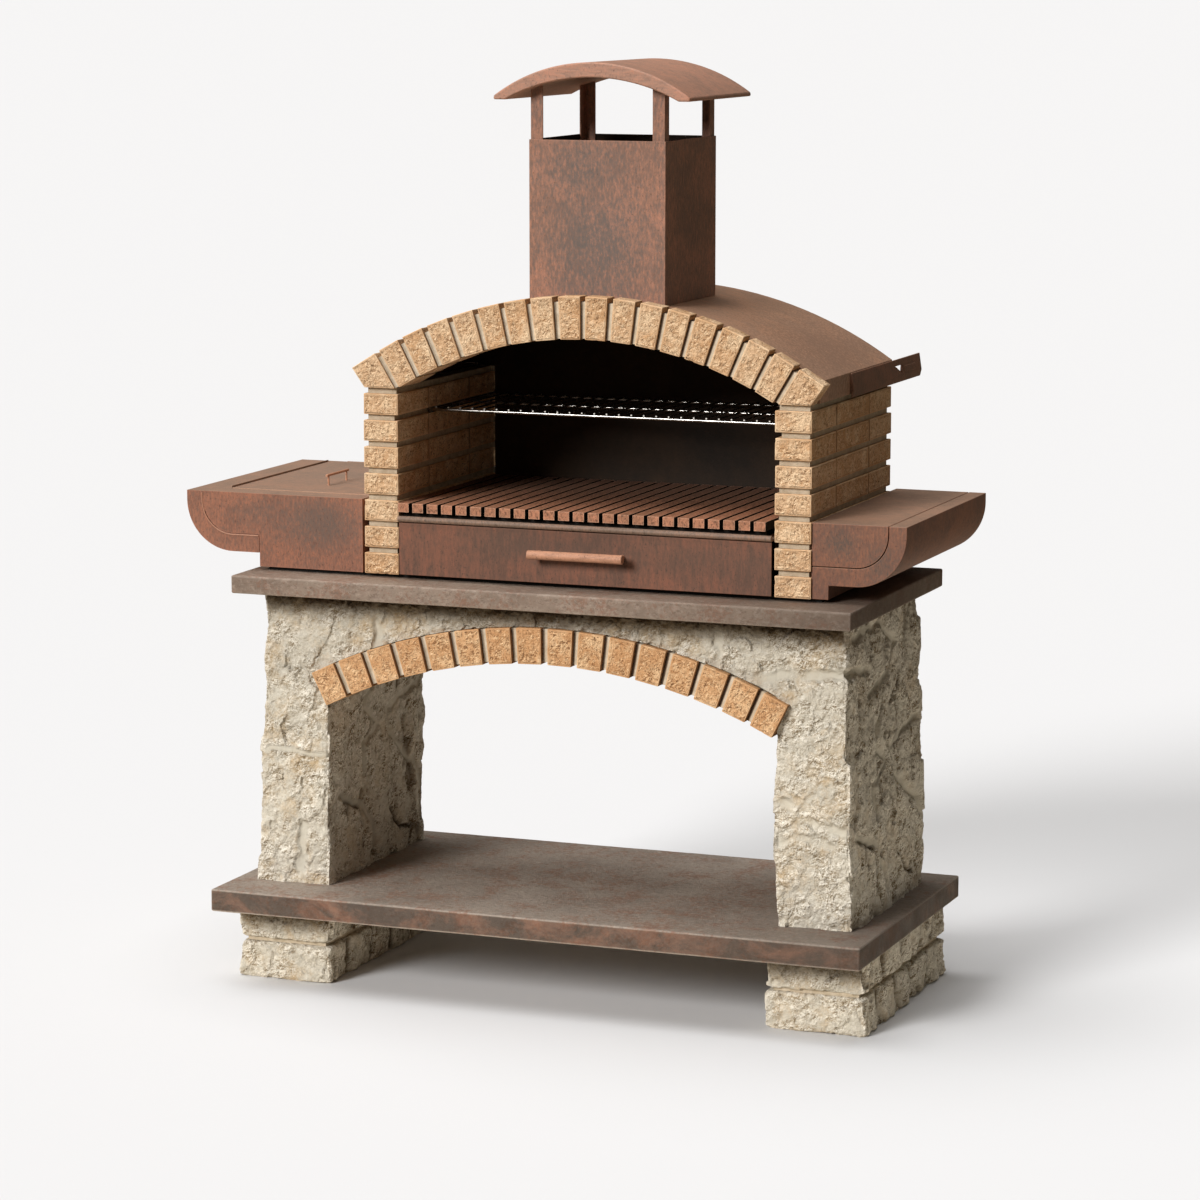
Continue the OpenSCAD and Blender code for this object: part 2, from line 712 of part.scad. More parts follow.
// Side rods lie in the deep bed joint of each wall; cross rods tie them together
module grill_frame() {
    xr = in_half + 1.5;
    color([0.75, 0.75, 0.76]) placed() translate([firebox_offset, 0, 0]) union() {
        for (s = [-1, 1]) translate([s * xr, y_grill + grill_depth, z_slot + touch + grill_side_rod / 2])
            rotate([90, 0, 0]) cylinder(h = grill_depth, d = grill_side_rod);
        for (y = [y_grill + grill_frame_rod / 2, y_grill + grill_depth / 2,
            y_grill + grill_depth - grill_frame_rod / 2])
            translate([0, y, z_grill]) rotate([0, 90, 0])
                cylinder(h = 2 * xr, d = grill_frame_rod, center = true);
    }
}

// Thin rods resting on the cross rods
module grill_rods() {
    w = firebox_inner_width - 30;
    color([0.80, 0.80, 0.81]) placed() for (i = [0 : grill_rod_count - 1])
        translate([firebox_offset - w / 2 + i * w / (grill_rod_count - 1), y_grill + grill_depth - 2,
            z_grill + grill_frame_rod / 2 + grill_rod / 2 + 0.05])
            rotate([90, 0, 0]) cylinder(h = grill_depth - 4, d = grill_rod, $fn = 32);
}

// Group: storage box and side table

// Outline seen from the front, drawn outwards from the wall; inset shrinks it evenly
module side_outline(w, foot, inset) {
    zc = side_height - side_lip;
    r = side_radius - inset;
    union() {
        translate([inset, inset]) square([foot - 2 * inset, side_height - 2 * inset]);
        translate([inset, zc - r]) square([w - side_radius - inset, side_height - inset - zc + r]);
        translate([w - side_radius, zc]) intersection() {
            circle(r = r);
            translate([0, -side_radius]) square([side_radius, side_radius]);
        }
        translate([w - side_radius, zc]) square([r, side_lip - inset]);
    }
}

// Panel inside the border band; grow is added all round on the band's side
module side_panel(w, grow) {
    zc = side_height - side_lip;
    r = side_radius - side_band + grow;
    union() {
        translate([0, zc - r]) square([w - side_radius, side_height - zc + r]);
        translate([w - side_radius, zc]) intersection() {
            circle(r = r);
            translate([0, -side_radius]) square([side_radius, side_radius]);
        }
        translate([w - side_radius, zc]) square([r, side_lip]);
    }
}

// Table panel; a strip hidden behind the front of the groove seats it on the band
module side_table_body() {
    z_seat = side_height - side_lip - side_radius + side_band - 1;
    color([0.46, 0.27, 0.21]) placed() translate([x_table, 0, z_unit]) union() {
        difference() {
            along_y(y_side, y_side + side_depth) side_panel(table_width, -1);
            along_y(y_side + side_sheet, y_side + side_depth + 1) intersection() {
                side_panel(table_width, -1 - side_sheet);
                translate([side_sheet, 0]) square([table_width, side_height - side_sheet]);
            }
        }
        along_y(y_side + 6, y_side + side_depth) translate([0, z_seat])
            square([table_width - side_radius, 3]);
    }
}

module side_table_band() {
    color([0.50, 0.29, 0.22]) placed() translate([x_table, 0, z_unit]) difference() {
        along_y(y_side, y_side + side_depth) difference() {
            side_outline(table_width, table_foot, 0);
            side_panel(table_width, 1);
            translate([-1, side_height - side_lip]) square([table_width - side_band + 2, side_lip + 1]);
        }
        along_y(y_side + side_sheet, y_side + side_depth + 1) difference() {
            side_outline(table_width, table_foot, side_sheet);
            side_panel(table_width, 1 + side_sheet);
            translate([-1, side_height - side_lip])
                square([table_width - side_band + 2 + side_sheet, side_lip + 1]);
        }
    }
}

// Hollow box with a lid opening, a ledge on three sides of it, and hinge knuckles behind
module storage_box() {
    yb = y_side + side_depth;
    l0 = lid_near - lid_gap;
    l1 = lid_far + lid_gap;
    y0 = y_lid - lid_gap;
    y1 = y_lid_back + lid_rear_gap;
    zt = side_height;
    color([0.46, 0.27, 0.21]) placed() translate([x_box, 0, z_unit]) mirror([1, 0, 0]) difference() {
        union() {
            difference() {
                along_y(y_side, yb) side_outline(box_width, box_foot, 0);
                along_y(y_side + side_sheet, yb - side_sheet) side_outline(box_width, box_foot, side_sheet);
                block([l0, y0, zt - 2], [l1, y1, zt + 1]);
                block([l0 + 12, y0 + 12, zt - side_sheet - 1], [l1 - 12, y1, zt + 1]);
            }
            difference() {
                block([l0 - 4, y0 - 6, zt - 10], [l1 + 6, y1, zt - side_sheet + eps]);
                block([l0 + 12, y0 + 12, zt - 11], [l1 - 12, y1 + 1, zt]);
            }
            for (u = hinge_at, e = [-1, 1]) translate([u + e * 20, 0, 0]) {
                block([-7, y_lid_back, zt - side_sheet], [7, y1 + 2, zt - 2]);
                translate([-7, y_lid_back, zt - 0.4]) rotate([0, 90, 0]) cylinder(h = 14, r = knuckle, $fn = 48);
            }
        }
        for (u = hinge_at) {
            block([u - 12.6, y_lid_back - 5, zt - 11], [u + 12.6, y_lid_back + knuckle + 1.4, zt + 5]);
            translate([u - 30, y_lid_back, zt - 0.4]) rotate([0, 90, 0])
                cylinder(h = 60, r = pin_diameter / 2 + 0.05, $fn = 48);
        }
        translate([0, y_side + 2, 0]) rotate([90, 0, 0]) linear_extrude(height = 3) intersection() {
            difference() { side_panel(box_width, 1.6); side_panel(box_width, -1.6); }
            translate([box_foot - 1, 0]) square([box_width, side_height - side_lip - 25]);
        }
        block([box_foot - 1, y_side - 1, 0], [box_foot + 1.2, y_side + 2, side_height - side_lip - side_radius + side_band]);
    }
}

module box_lid() {
    zt = side_height;
    color([0.48, 0.30, 0.24]) placed() translate([x_box, 0, z_unit]) mirror([1, 0, 0]) difference() {
        union() {
            difference() {
                block([lid_near, y_lid, zt - 2], [lid_far, y_lid_back, zt - 2 + lid_thickness]);
                for (u = hinge_at, e = [-1, 1]) translate([u + e * 20.3, 0, 0])
                    block([-8, y_lid_back - knuckle - 1.2, zt - 5], [8, y_lid_back + 1, zt + 10]);
            }
            for (u = hinge_at) translate([u - 12, y_lid_back, zt - 0.4]) rotate([0, 90, 0])
                cylinder(h = 24, r = knuckle, $fn = 48);
        }
        for (u = hinge_at) translate([u - 20, y_lid_back, zt - 0.4]) rotate([0, 90, 0])
            cylinder(h = 40, r = pin_diameter / 2 + pin_play, $fn = 48);
    }
}

module lid_hinge_pins() {
    color([0.6, 0.6, 0.6]) placed() translate([x_box, 0, z_unit]) mirror([1, 0, 0])
        for (u = hinge_at) translate([u - 27, y_lid_back, side_height - 0.4]) rotate([0, 90, 0])
            cylinder(h = 54, r = pin_diameter / 2, $fn = 48);
}

x_knob = x_box - (lid_far + lid_near) / 2 + 16;
y_knob = y_lid + 162;
z_knob = z_lid + lid_thickness + lid_handle_height - 3;

module lid_handle_rod() {
    color([0.40, 0.25, 0.20]) placed() translate([x_knob, y_knob + lid_handle_length / 2, z_knob])
        rotate([90, 0, 0]) cylinder(h = lid_handle_length, d = lid_handle_rod, $fn = 48);
}

module lid_handle_legs() {
    color([0.38, 0.24, 0.19]) placed() difference() {
        for (e = [-1, 1]) translate([x_knob, y_knob + e * (lid_handle_length / 2 - 10), z_lid + lid_thickness])
            cylinder(h = z_knob - z_lid - lid_thickness, d = 4.4, $fn = 48);
        translate([x_knob, y_knob + lid_handle_length, z_knob]) rotate([90, 0, 0])
            cylinder(h = 2 * lid_handle_length, d = lid_handle_rod + 2 * touch, $fn = 48);
    }
}

plinth_left_lower();
plinth_left_bed();
plinth_left_upper();
plinth_right_lower();
plinth_right_bed();
plinth_right_upper();
lower_shelf();
pier_left();
pier_right();
arch_stone();
lower_arch_bricks();
lower_arch_mortar();
worktop();
firebox_base();
wall_left_bricks();
wall_left_mortar();
wall_right_bricks();
wall_right_mortar();
upper_arch_bricks();
skewback_left();
skewback_right();
upper_arch_mortar();
fire_back();
hood();
eave_bracket_left();
eave_bracket_right();
chimney_flue();
chimney_posts();
chimney_cap();
drawer_front();
drawer_tray();
drawer_handle_bar();
drawer_handle_posts();
drawer_runners();
grate_ledges();
grate_frame();
grate_bearers();
grate_bars();
grill_frame();
grill_rods();
storage_box();
box_lid();
lid_hinge_pins();
lid_handle_rod();
lid_handle_legs();
side_table_body();
side_table_band();
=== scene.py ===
# Looks of the masonry barbecue oven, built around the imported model. Metres, front towards -Y.
import math
import bpy
import bmesh
import numpy as np
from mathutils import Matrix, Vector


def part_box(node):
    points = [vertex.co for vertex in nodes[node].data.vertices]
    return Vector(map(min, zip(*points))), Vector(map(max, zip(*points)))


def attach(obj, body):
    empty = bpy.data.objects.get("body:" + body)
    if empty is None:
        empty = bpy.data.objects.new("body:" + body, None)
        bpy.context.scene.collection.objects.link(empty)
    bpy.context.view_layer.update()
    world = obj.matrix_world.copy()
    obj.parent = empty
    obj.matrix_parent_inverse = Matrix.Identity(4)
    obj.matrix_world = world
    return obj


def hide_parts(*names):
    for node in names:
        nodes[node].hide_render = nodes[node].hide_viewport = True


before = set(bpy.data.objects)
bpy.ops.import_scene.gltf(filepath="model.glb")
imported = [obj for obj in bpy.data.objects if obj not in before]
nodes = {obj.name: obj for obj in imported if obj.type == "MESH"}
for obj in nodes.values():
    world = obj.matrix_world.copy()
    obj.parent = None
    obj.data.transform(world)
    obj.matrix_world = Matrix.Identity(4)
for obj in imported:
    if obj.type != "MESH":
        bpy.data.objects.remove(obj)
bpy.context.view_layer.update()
scene = bpy.context.scene


# Camera and light

# The camera stands where the photograph was taken from; angles in degrees
cameraShape = {"place": (3.3023, -8.3680, 2.2798), "turn": 21.336, "tilt": 9.0033, "lens": 121.2,
               "sensor": 36, "farthest": 1000}


# Tilt is counted down from the level, turn from the view straight at the front
def placeCamera():
    lens = bpy.data.cameras.new("photoCamera")
    lens.lens = cameraShape["lens"]
    lens.sensor_width = cameraShape["sensor"]
    lens.clip_end = cameraShape["farthest"]
    camera = bpy.data.objects.new("photoCamera", lens)
    camera.location = cameraShape["place"]
    camera.rotation_euler = (math.radians(90 - cameraShape["tilt"]), 0, math.radians(cameraShape["turn"]))
    scene.collection.objects.link(camera)
    scene.camera = camera


# Lamp directions run from the oven towards the lamp; strength is in watts per square metre
lightShape = {
    "key": {"from": (-0.36, -0.92, 0.46), "strength": 3.10, "softness": 20, "tone": (1.0, 0.985, 0.96)},
    "top": {"from": (-0.22, -0.05, 1.0), "strength": 2.55, "softness": 55, "tone": (1.0, 0.985, 0.96)},
    "sky": 0.10, "skyTone": (1.0, 0.90, 0.76, 1),
}


# Each lamp is turned so that its own upward axis points along its direction
def placeLights():
    for name in ("key", "top"):
        shape = lightShape[name]
        lamp = bpy.data.lights.new(name + "Lamp", "SUN")
        lamp.energy = shape["strength"]
        lamp.color = shape["tone"]
        lamp.angle = math.radians(shape["softness"])
        holder = bpy.data.objects.new(name + "Lamp", lamp)
        x, y, z = shape["from"]
        holder.rotation_euler = (math.atan2(math.hypot(x, y), z), 0, math.atan2(y, x) + math.pi / 2)
        scene.collection.objects.link(holder)
    world = bpy.data.worlds.new("studio")
    world.use_nodes = True
    scene.world = world
    world.node_tree.nodes["Background"].inputs["Color"].default_value = lightShape["skyTone"]
    world.node_tree.nodes["Background"].inputs["Strength"].default_value = lightShape["sky"]


placeCamera()
placeLights()
scene.view_settings.view_transform = "Standard"
print("camera and lamps placed")


# Materials

# Colour from 0 to 255 as a screen shows it, made linear
def tone(red, green, blue):
    return tuple((c / 255 / 12.92) if c < 10.3 else ((c / 255 + 0.055) / 1.055) ** 2.4
                 for c in (red, green, blue)) + (1,)


def tones(*colours):
    return [tone(*levels) for levels in colours]


# Adds one shader node; inputs are values or the sockets that feed them. The helpers after it add theirs to
# the tree that the socket they are given belongs to
def addNode(tree, kind, inputs=None, **settings):
    node = tree.nodes.new(kind)
    for key, value in settings.items():
        setattr(node, key, value)
    for key, value in (inputs or {}).items():
        if isinstance(value, bpy.types.NodeSocket):
            tree.links.new(value, node.inputs[key])
        else:
            node.inputs[key].default_value = value
    return node


# Object coordinates, stretched by a factor along each axis
def placeOnPiece(tree, stretch=(1, 1, 1), shift=(0, 0, 0)):
    where = addNode(tree, "ShaderNodeTexCoord").outputs["Object"]
    inputs = {"Vector": where, "Scale": stretch, "Location": shift}
    return addNode(tree, "ShaderNodeMapping", inputs).outputs[0]


# Empty material with its tree and its plain object coordinates
def startFinish(name):
    material = bpy.data.materials.new(name)
    material.use_nodes = True
    material.node_tree.nodes.clear()
    return material, material.node_tree, placeOnPiece(material.node_tree)


# Noise from 0 to 1, with so many cells per metre
def cloud(where, scale, detail=5, rough=0.6, distortion=0):
    inputs = {"Vector": where, "Scale": scale, "Detail": detail, "Roughness": rough, "Distortion": distortion}
    return addNode(where.id_data, "ShaderNodeTexNoise", inputs).outputs["Fac"]


# Runs a value through stops of (position, grey level) or (position, colour)
def ramp(value, *stops):
    node = addNode(value.id_data, "ShaderNodeValToRGB", {"Fac": value})
    band = node.color_ramp
    while len(band.elements) < len(stops):
        band.elements.new(0.5)
    for element, (position, level) in zip(band.elements, stops):
        element.position = position
        element.color = level if isinstance(level, tuple) else (level, level, level, 1)
    return node.outputs["Color"]


# Arithmetic on two values, of which at least one is a socket
def sums(operation, first, second=0.0):
    tree = (first if isinstance(first, bpy.types.NodeSocket) else second).id_data
    return addNode(tree, "ShaderNodeMath", {0: first, 1: second}, operation=operation).outputs[0]


def times(first, second):
    return sums("MULTIPLY", first, second)


def plus(first, second):
    return sums("ADD", first, second)


# Sum of several values, each times its weight
def weighted(*parts):
    shares = [times(value, weight) for value, weight in parts]
    total = shares[0]
    for share in shares[1:]:
        total = plus(total, share)
    return total


def mix(factor, first, second):
    inputs = {0: factor, 6: first, 7: second}
    return addNode(factor.id_data, "ShaderNodeMix", inputs, data_type="RGBA").outputs[2]


# Blends the first colour into the second as a noise rises from the low stop to the high one; the noise is
# (scale, detail, roughness, distortion), of which the last ones may be left out
def spots(where, noise, low, high, first, second):
    return mix(ramp(cloud(where, *noise), low, high), first, second)


# Vector sum, difference and the like
def vectors(operation, first, second):
    return addNode(first.id_data, "ShaderNodeVectorMath", {0: first, 1: second}, operation=operation)


def attributeOf(tree, name):
    return addNode(tree, "ShaderNodeAttribute", attribute_name=name).outputs["Fac"]


# Painted highlight and painted shade on the flanks of a grain, 0.5 on average: how far the noise falls from
# each point up to the left, towards the light
def paintedFlankLight(where, scale, detail, gain, reach):
    toLight = (-0.45 * reach, -0.35 * reach, 0.82 * reach)
    beside = vectors("ADD", where, toLight).outputs[0]
    here, there = (cloud(spot, scale, detail, 0.7, 0.4) for spot in (where, beside))
    return plus(times(sums("SUBTRACT", here, there), gain), 0.5)


# Paints light and shade into a colour: the flanks of each grain that face the light turn towards the pale
# tone as painted highlight, the others towards the dark tone as painted shade, and points that rise above
# their neighbourhood lean to the light side. A grain is (scale, gain, reach, strength); stops are where the
# light begins and where the dark ends
def paintFlankLightAndShade(where, colour, amount, pale, dark, paintedGrainLight, detail, stops):
    rise = times(attributeOf(where.id_data, "rise"), 0.08)
    for scale, gain, reach, strength in paintedGrainLight:
        flank = plus(paintedFlankLight(where, scale, detail, gain, reach), rise)
        lift = times(ramp(flank, (stops[0], 0.0), (0.92, strength)), amount)
        drop = times(ramp(flank, (0.08, strength), (stops[1], 0.0)), amount)
        colour = mix(drop, mix(lift, colour, pale), dark)
    return colour


# Normal tilted by the slope of a height, where a height of 1 stands for the distance
def relief(height, distance, normal=None):
    inputs = {"Height": height, "Distance": distance, "Strength": 1.0}
    if normal is not None:
        inputs["Normal"] = normal
    return addNode(height.id_data, "ShaderNodeBump", inputs).outputs[0]


def endFinish(material, colour, roughness, normal, metallic=0.0, specular=0.5):
    shader = addNode(material.node_tree, "ShaderNodeBsdfPrincipled", {
        "Base Color": colour, "Roughness": roughness, "Metallic": metallic, "Specular IOR Level": specular,
        "Normal": normal})
    addNode(material.node_tree, "ShaderNodeOutputMaterial", {"Surface": shader.outputs[0]})
    return material


# 1 on edges narrower than the radius, 0 on open faces: how far a rounded normal leans from the true one
def edgeMask(tree, radius):
    rounded = addNode(tree, "ShaderNodeBevel", {"Radius": radius}, samples=4).outputs[0]
    straight = addNode(tree, "ShaderNodeNewGeometry").outputs["Normal"]
    lean = vectors("DOT_PRODUCT", rounded, straight).outputs["Value"]
    return ramp(lean, (0.75, 1.0), (0.985, 0.0))


def lengthOf(vector):
    return addNode(vector.id_data, "ShaderNodeVectorMath", {0: vector}, operation="LENGTH").outputs["Value"]


# 1 in the middle of an oval patch, falling to 0 at its rim
def patchMask(where, centre, size):
    away = vectors("SUBTRACT", where, centre).outputs[0]
    scaled = vectors("DIVIDE", away, size).outputs[0]
    return ramp(lengthOf(scaled), (0.15, 1.0), (1.0, 0.0))


# bright and low are the tones of the painted highlight and painted shade on the grain's flanks, whose sizes
# are listed last; bright also pales the sides as painted light, and the darkest tone is painted shade
stoneLook = {
    "cream": tone(202, 195, 181), "ochre": tone(190, 166, 132), "grey": tone(189, 183, 170),
    "bright": tone(236, 230, 218), "low": tone(122, 105, 79), "creviceShade": tone(80, 65, 44),
    "joint": tone(196, 190, 176), "sidePaintedLight": 0.40, "sideRough": 0.35,
    "paintedGrainLight": ((14, 6.0, 0.0080, 0.8), (42, 5.6, 0.0030, 0.9), (95, 5.2, 0.0017, 0.8)),
}


# Stone skin; the mesh tells how high each point lies in its neighbourhood, how much of it is joint, how much
# painted shade it gets, and whether it is on a side. The grain's flanks carry painted highlight and painted
# shade, and the sides are paled as painted light
def stoneFinish(name):
    look = stoneLook
    material, tree, where = startFinish(name)
    joint, side = attributeOf(tree, "joint"), attributeOf(tree, "side")
    colour = spots(where, (15, 5, 0.65, 0.6), (0.42, 0.0), (0.64, 1.0), look["cream"], look["grey"])
    colour = spots(where, (9, 7, 0.74), (0.48, 0.0), (0.64, 0.9), colour, look["ochre"])
    # Sides paled towards the bright tone: painted light on faces that the lamps leave dark
    colour = mix(times(side, look["sidePaintedLight"]), colour, look["bright"])
    keep = sums("SUBTRACT", 1.0, times(joint, 0.8))
    # Where the grain's flanks get painted light and shade and the fine bumps show: less in joints, more on
    # sides
    rough = times(ramp(cloud(where, 24, 3, 0.6, 0.5), (0.42, 0.15), (0.64, 1.0)), keep)
    rough = times(rough, plus(1.0, times(side, look["sideRough"])))
    bright, low = look["bright"], look["low"]
    # Painted highlight on the grain's flanks towards the light, painted shade on those turned away
    colour = paintFlankLightAndShade(where, colour, rough, bright, low, look["paintedGrainLight"], 5, (0.54, 0.45))
    # Painted shade in crevices, in the cuts between plinth blocks and under the slab above
    colour = mix(attributeOf(tree, "creviceShade"), colour, look["creviceShade"])
    colour = mix(times(joint, 0.75), colour, look["joint"])
    coarse = relief(times(cloud(where, 50, 3, 0.62, 0.5), keep), 0.0110)
    fine = relief(times(cloud(where, 230, 1.5, 0.6), rough), 0.0022, coarse)
    return endFinish(material, colour, 0.95, fine, specular=0.15)


# dark is the painted shade of the slabs' patches, edge the painted highlight along their edges
slabLook = {"dark": tone(60, 46, 36), "edge": tone(200, 188, 177), "edgeWidth": 0.007}


# Slab skin in three tones with stains of rust. The upright rim is mixed from dark and rust, and the dark
# patches are (centre, size, strength): painted shade, which the slabs below put at their right ends. The
# edges get a painted highlight
def slabFinish(name, deep, base, pale, rust, rustAmount, rimDark, rimAmount, patches):
    deep, base, pale, rust, rimDark = tones(deep, base, pale, rust, rimDark)
    material, tree, where = startFinish(name)
    colour = spots(where, (4.5, 6, 0.65), (0.40, 0.0), (0.64, 0.7), base, deep)
    stains = weighted((cloud(where, 10, 5, 0.7, 0.5), 0.5), (cloud(where, 120, 4, 0.7), 0.5))
    colour = mix(ramp(stains, (0.50, 0.0), (0.57, rustAmount)), colour, rust)
    colour = spots(placeOnPiece(tree, (0.7, 1, 1)), (90, 5, 0.75), (0.50, 0.0), (0.62, 0.5), colour, pale)
    drawn = placeOnPiece(tree, (0.6, 1, 1))
    colour = spots(drawn, (170, 3, 0.7), (0.36, 0.8), (0.46, 0.0), colour, deep)
    rimTone = spots(drawn, (15, 7, 0.70, 0.4), (0.45, 0.0), (0.66, 0.8), rimDark, rust)
    colour = mix(times(attributeOf(tree, "rim"), rimAmount), colour, rimTone)
    # Painted shade in the dark patches
    for centre, size, strength in patches:
        shade = times(patchMask(where, centre, size), strength)
        colour = mix(shade, colour, slabLook["dark"])
    # Painted highlight along the slab's edges
    colour = mix(times(edgeMask(tree, slabLook["edgeWidth"]), 0.8), colour, slabLook["edge"])
    bumps = relief(cloud(where, 60, 7, 0.7), 0.0030)
    bumps = relief(cloud(where, 420, 4, 0.65), 0.0012, bumps)
    roughness = ramp(cloud(where, 16, 5, 0.6), (0.35, 0.50), (0.70, 0.72))
    return endFinish(material, colour, roughness, bumps, specular=0.3)


# Sizes of the painted highlight and painted shade on the bricks' grain flanks
brickPaintedGrainLight = ((45, 4.0, 0.0030, 0.45), (110, 5.6, 0.0015, 0.9))


# Brick skin from three tones and a dark one. The dark tone is painted shade: in pits and creases, on the
# grain's flanks turned from the light, and wherever the mesh asks for it. The light tone gives paler patches
# and also painted highlight on the flanks facing the light and along the edges. The mesh tells how far inside
# its border a point is; creases run where a drawn-out noise crosses its middle
def brickFinish(name, base, deep, light, brickShade):
    base, deep, light, brickShade = tones(base, deep, light, brickShade)
    material, tree, where = startFinish(name)
    inside = attributeOf(tree, "inside")
    colour = spots(where, (30, 6, 0.7, 0.4), (0.46, 0.0), (0.70, 0.8), base, deep)
    colour = mix(times(attributeOf(tree, "brickTone"), 0.6), colour, deep)
    aside = placeOnPiece(tree, shift=(3, 7, 1))
    colour = spots(aside, (22, 4, 0.65), (0.50, 0.0), (0.64, 0.6), colour, light)
    broken = times(ramp(cloud(where, 48, 3, 0.6, 0.6), (0.42, 0.25), (0.58, 1.0)), inside)
    colour = paintFlankLightAndShade(where, colour, broken, light, brickShade, brickPaintedGrainLight, 4, (0.55, 0.43))
    creases = sums("SUBTRACT", cloud(placeOnPiece(tree, (1.5, 1, 0.8)), 42, 3, 0.6, 1.4), 0.5)
    creases = ramp(sums("ABSOLUTE", creases), (0.004, 0.75), (0.016, 0.0))
    # Painted shade in creases, then where the mesh asks for it
    colour = mix(times(creases, inside), colour, brickShade)
    colour = mix(ramp(attributeOf(tree, "brickShade"), (0.15, 0.0), (0.95, 0.8)), colour, brickShade)
    # Painted highlight along the bricks' edges
    colour = mix(times(edgeMask(tree, 0.0030), 0.4), colour, light)
    border = plus(times(inside, 0.85), 0.15)
    bumps = relief(times(cloud(where, 150, 2, 0.6, 0.4), border), 0.0050)
    bumps = relief(times(cloud(where, 330, 1, 0.6), inside), 0.0012, bumps)
    return endFinish(material, colour, 0.9, bumps, specular=0.2)


# Painted shadow that each brick of an arch casts on the joint to its right: a dark strip along the left side
# of each joint, stronger towards the arch's right end. The angle from the upright, counted in joints, leaves
# a fraction that runs from 0 to 1 across a joint
def paintedJointShadow(where, arch):
    place = addNode(where.id_data, "ShaderNodeSeparateXYZ", {0: where})
    across = sums("SUBTRACT", place.outputs["X"], arch["centreX"])
    angle = sums("ARCTAN2", across, sums("SUBTRACT", place.outputs["Z"], arch["centreZ"]))
    turned = plus(angle, arch["span"] + arch["shift"] + arch["gap"] / 2 + 10 * arch["pitch"])
    share = sums("DIVIDE", sums("MODULO", turned, arch["pitch"]), arch["gap"])
    strip = ramp(share, (0.30, 1.0), (0.52, 0.0))
    along = plus(sums("DIVIDE", angle, 2 * arch["span"]), 0.5)
    return times(strip, ramp(along, (0.15, 0.35), (0.70, 0.92)))


# Mortar skin in two tones with dark specks, and with strips of painted shadow if it is an arch's
def mortarFinish(name, base, deep, arch=None):
    base, deep = tones(base, deep)
    material, _, where = startFinish(name)
    colour = spots(where, (45, 6, 0.7), (0.38, 0.0), (0.66, 1.0), base, deep)
    colour = spots(where, (600, 2, 0.6), (0.30, 0.5), (0.45, 0.0), colour, deep)
    if arch is not None:
        # Painted shadow of the bricks on the joints
        colour = mix(paintedJointShadow(where, arch), colour, tone(66, 45, 30))
    bumps = relief(cloud(where, 240, 5, 0.7), 0.0020)
    return endFinish(material, colour, 0.9, bumps, specular=0.2)


# Painted steel gone rusty. The tones run from low over mid to high as the rust gets redder, patina is the
# grey on top of it in oval patches of (centre, size, strength), edge is the bright edge, worn paint and
# painted highlight in one. The streaks stretch the grain along one axis, and fade is how soft the patina's
# border is
def steelFinish(name, low, mid, high, patina, edge, patches=(), streaks=(190, 190, 55), roughness=0.55,
                fade=(0.53, 0.66)):
    low, mid, high, patina, edge = tones(low, mid, high, patina, edge)
    material, tree, where = startFinish(name)
    grain = cloud(placeOnPiece(tree, streaks), 1.0, 4, 0.65)
    specks = cloud(placeOnPiece(tree, (1, 1, 0.6)), 260, 3, 0.65)
    rust = weighted((grain, 0.4), (cloud(where, 7, 6, 0.65, 0.5), 0.35), (specks, 0.25))
    colour = ramp(rust, (0.44, low), (0.50, mid), (0.56, high))
    cover = ramp(cloud(where, 9, 6, 0.6), (0.46, 0.0), (0.75, 0.15))
    for centre, size, strength in patches:
        oval = times(patchMask(where, centre, size), strength)
        cover = sums("MAXIMUM", cover, oval)
    flakes = cloud(placeOnPiece(tree, (1, 1, 0.5)), 180, 5, 0.7)
    broken = plus(times(cover, 0.17), weighted((flakes, 0.6), (specks, 0.4)))
    cover = ramp(broken, (fade[0], 0.0), (fade[1], 0.85))
    colour = mix(cover, colour, patina)
    colour = mix(ramp(specks, (0.30, 0.6), (0.40, 0.0)), colour, tone(66, 52, 44))
    # Bright edges: worn paint and painted highlight together
    colour = mix(times(edgeMask(tree, 0.0035), 0.65), colour, edge)
    rough = mix(cover, (roughness,) * 3 + (1,), (roughness + 0.12,) * 3 + (1,))
    return endFinish(material, colour, rough, relief(grain, 0.0009), specular=0.3)


# Plain skin with soft clouds, for sooted steel, small parts and the recessed base, and for the pieces that
# carry painted shade, painted highlight and painted glints
def plainFinish(name, base, deep, roughness=0.75, metallic=0.0):
    base, deep = tones(base, deep)
    material, _, where = startFinish(name)
    colour = spots(where, (6, 6, 0.65), (0.35, 0.0), (0.68, 1.0), base, deep)
    colour = spots(where, (90, 5, 0.7), (0.50, 0.0), (0.75, 0.5), colour, deep)
    bumps = relief(cloud(where, 160, 5, 0.65), 0.0006)
    return endFinish(material, colour, roughness, bumps, metallic=metallic, specular=0.3)


# Bright metal with duller clouds
def chromeFinish(name, bright, dull):
    bright, dull = tones(bright, dull)
    material, _, where = startFinish(name)
    colour = spots(where, (40, 5, 0.6), (0.40, 0.0), (0.70, 1.0), bright, dull)
    roughness = ramp(cloud(where, 90, 4, 0.6), (0.35, 0.16), (0.70, 0.32))
    bumps = relief(cloud(where, 400, 3, 0.6), 0.00008)
    return endFinish(material, colour, roughness, bumps, metallic=1.0)


stoneSkin = stoneFinish("hewnStone")
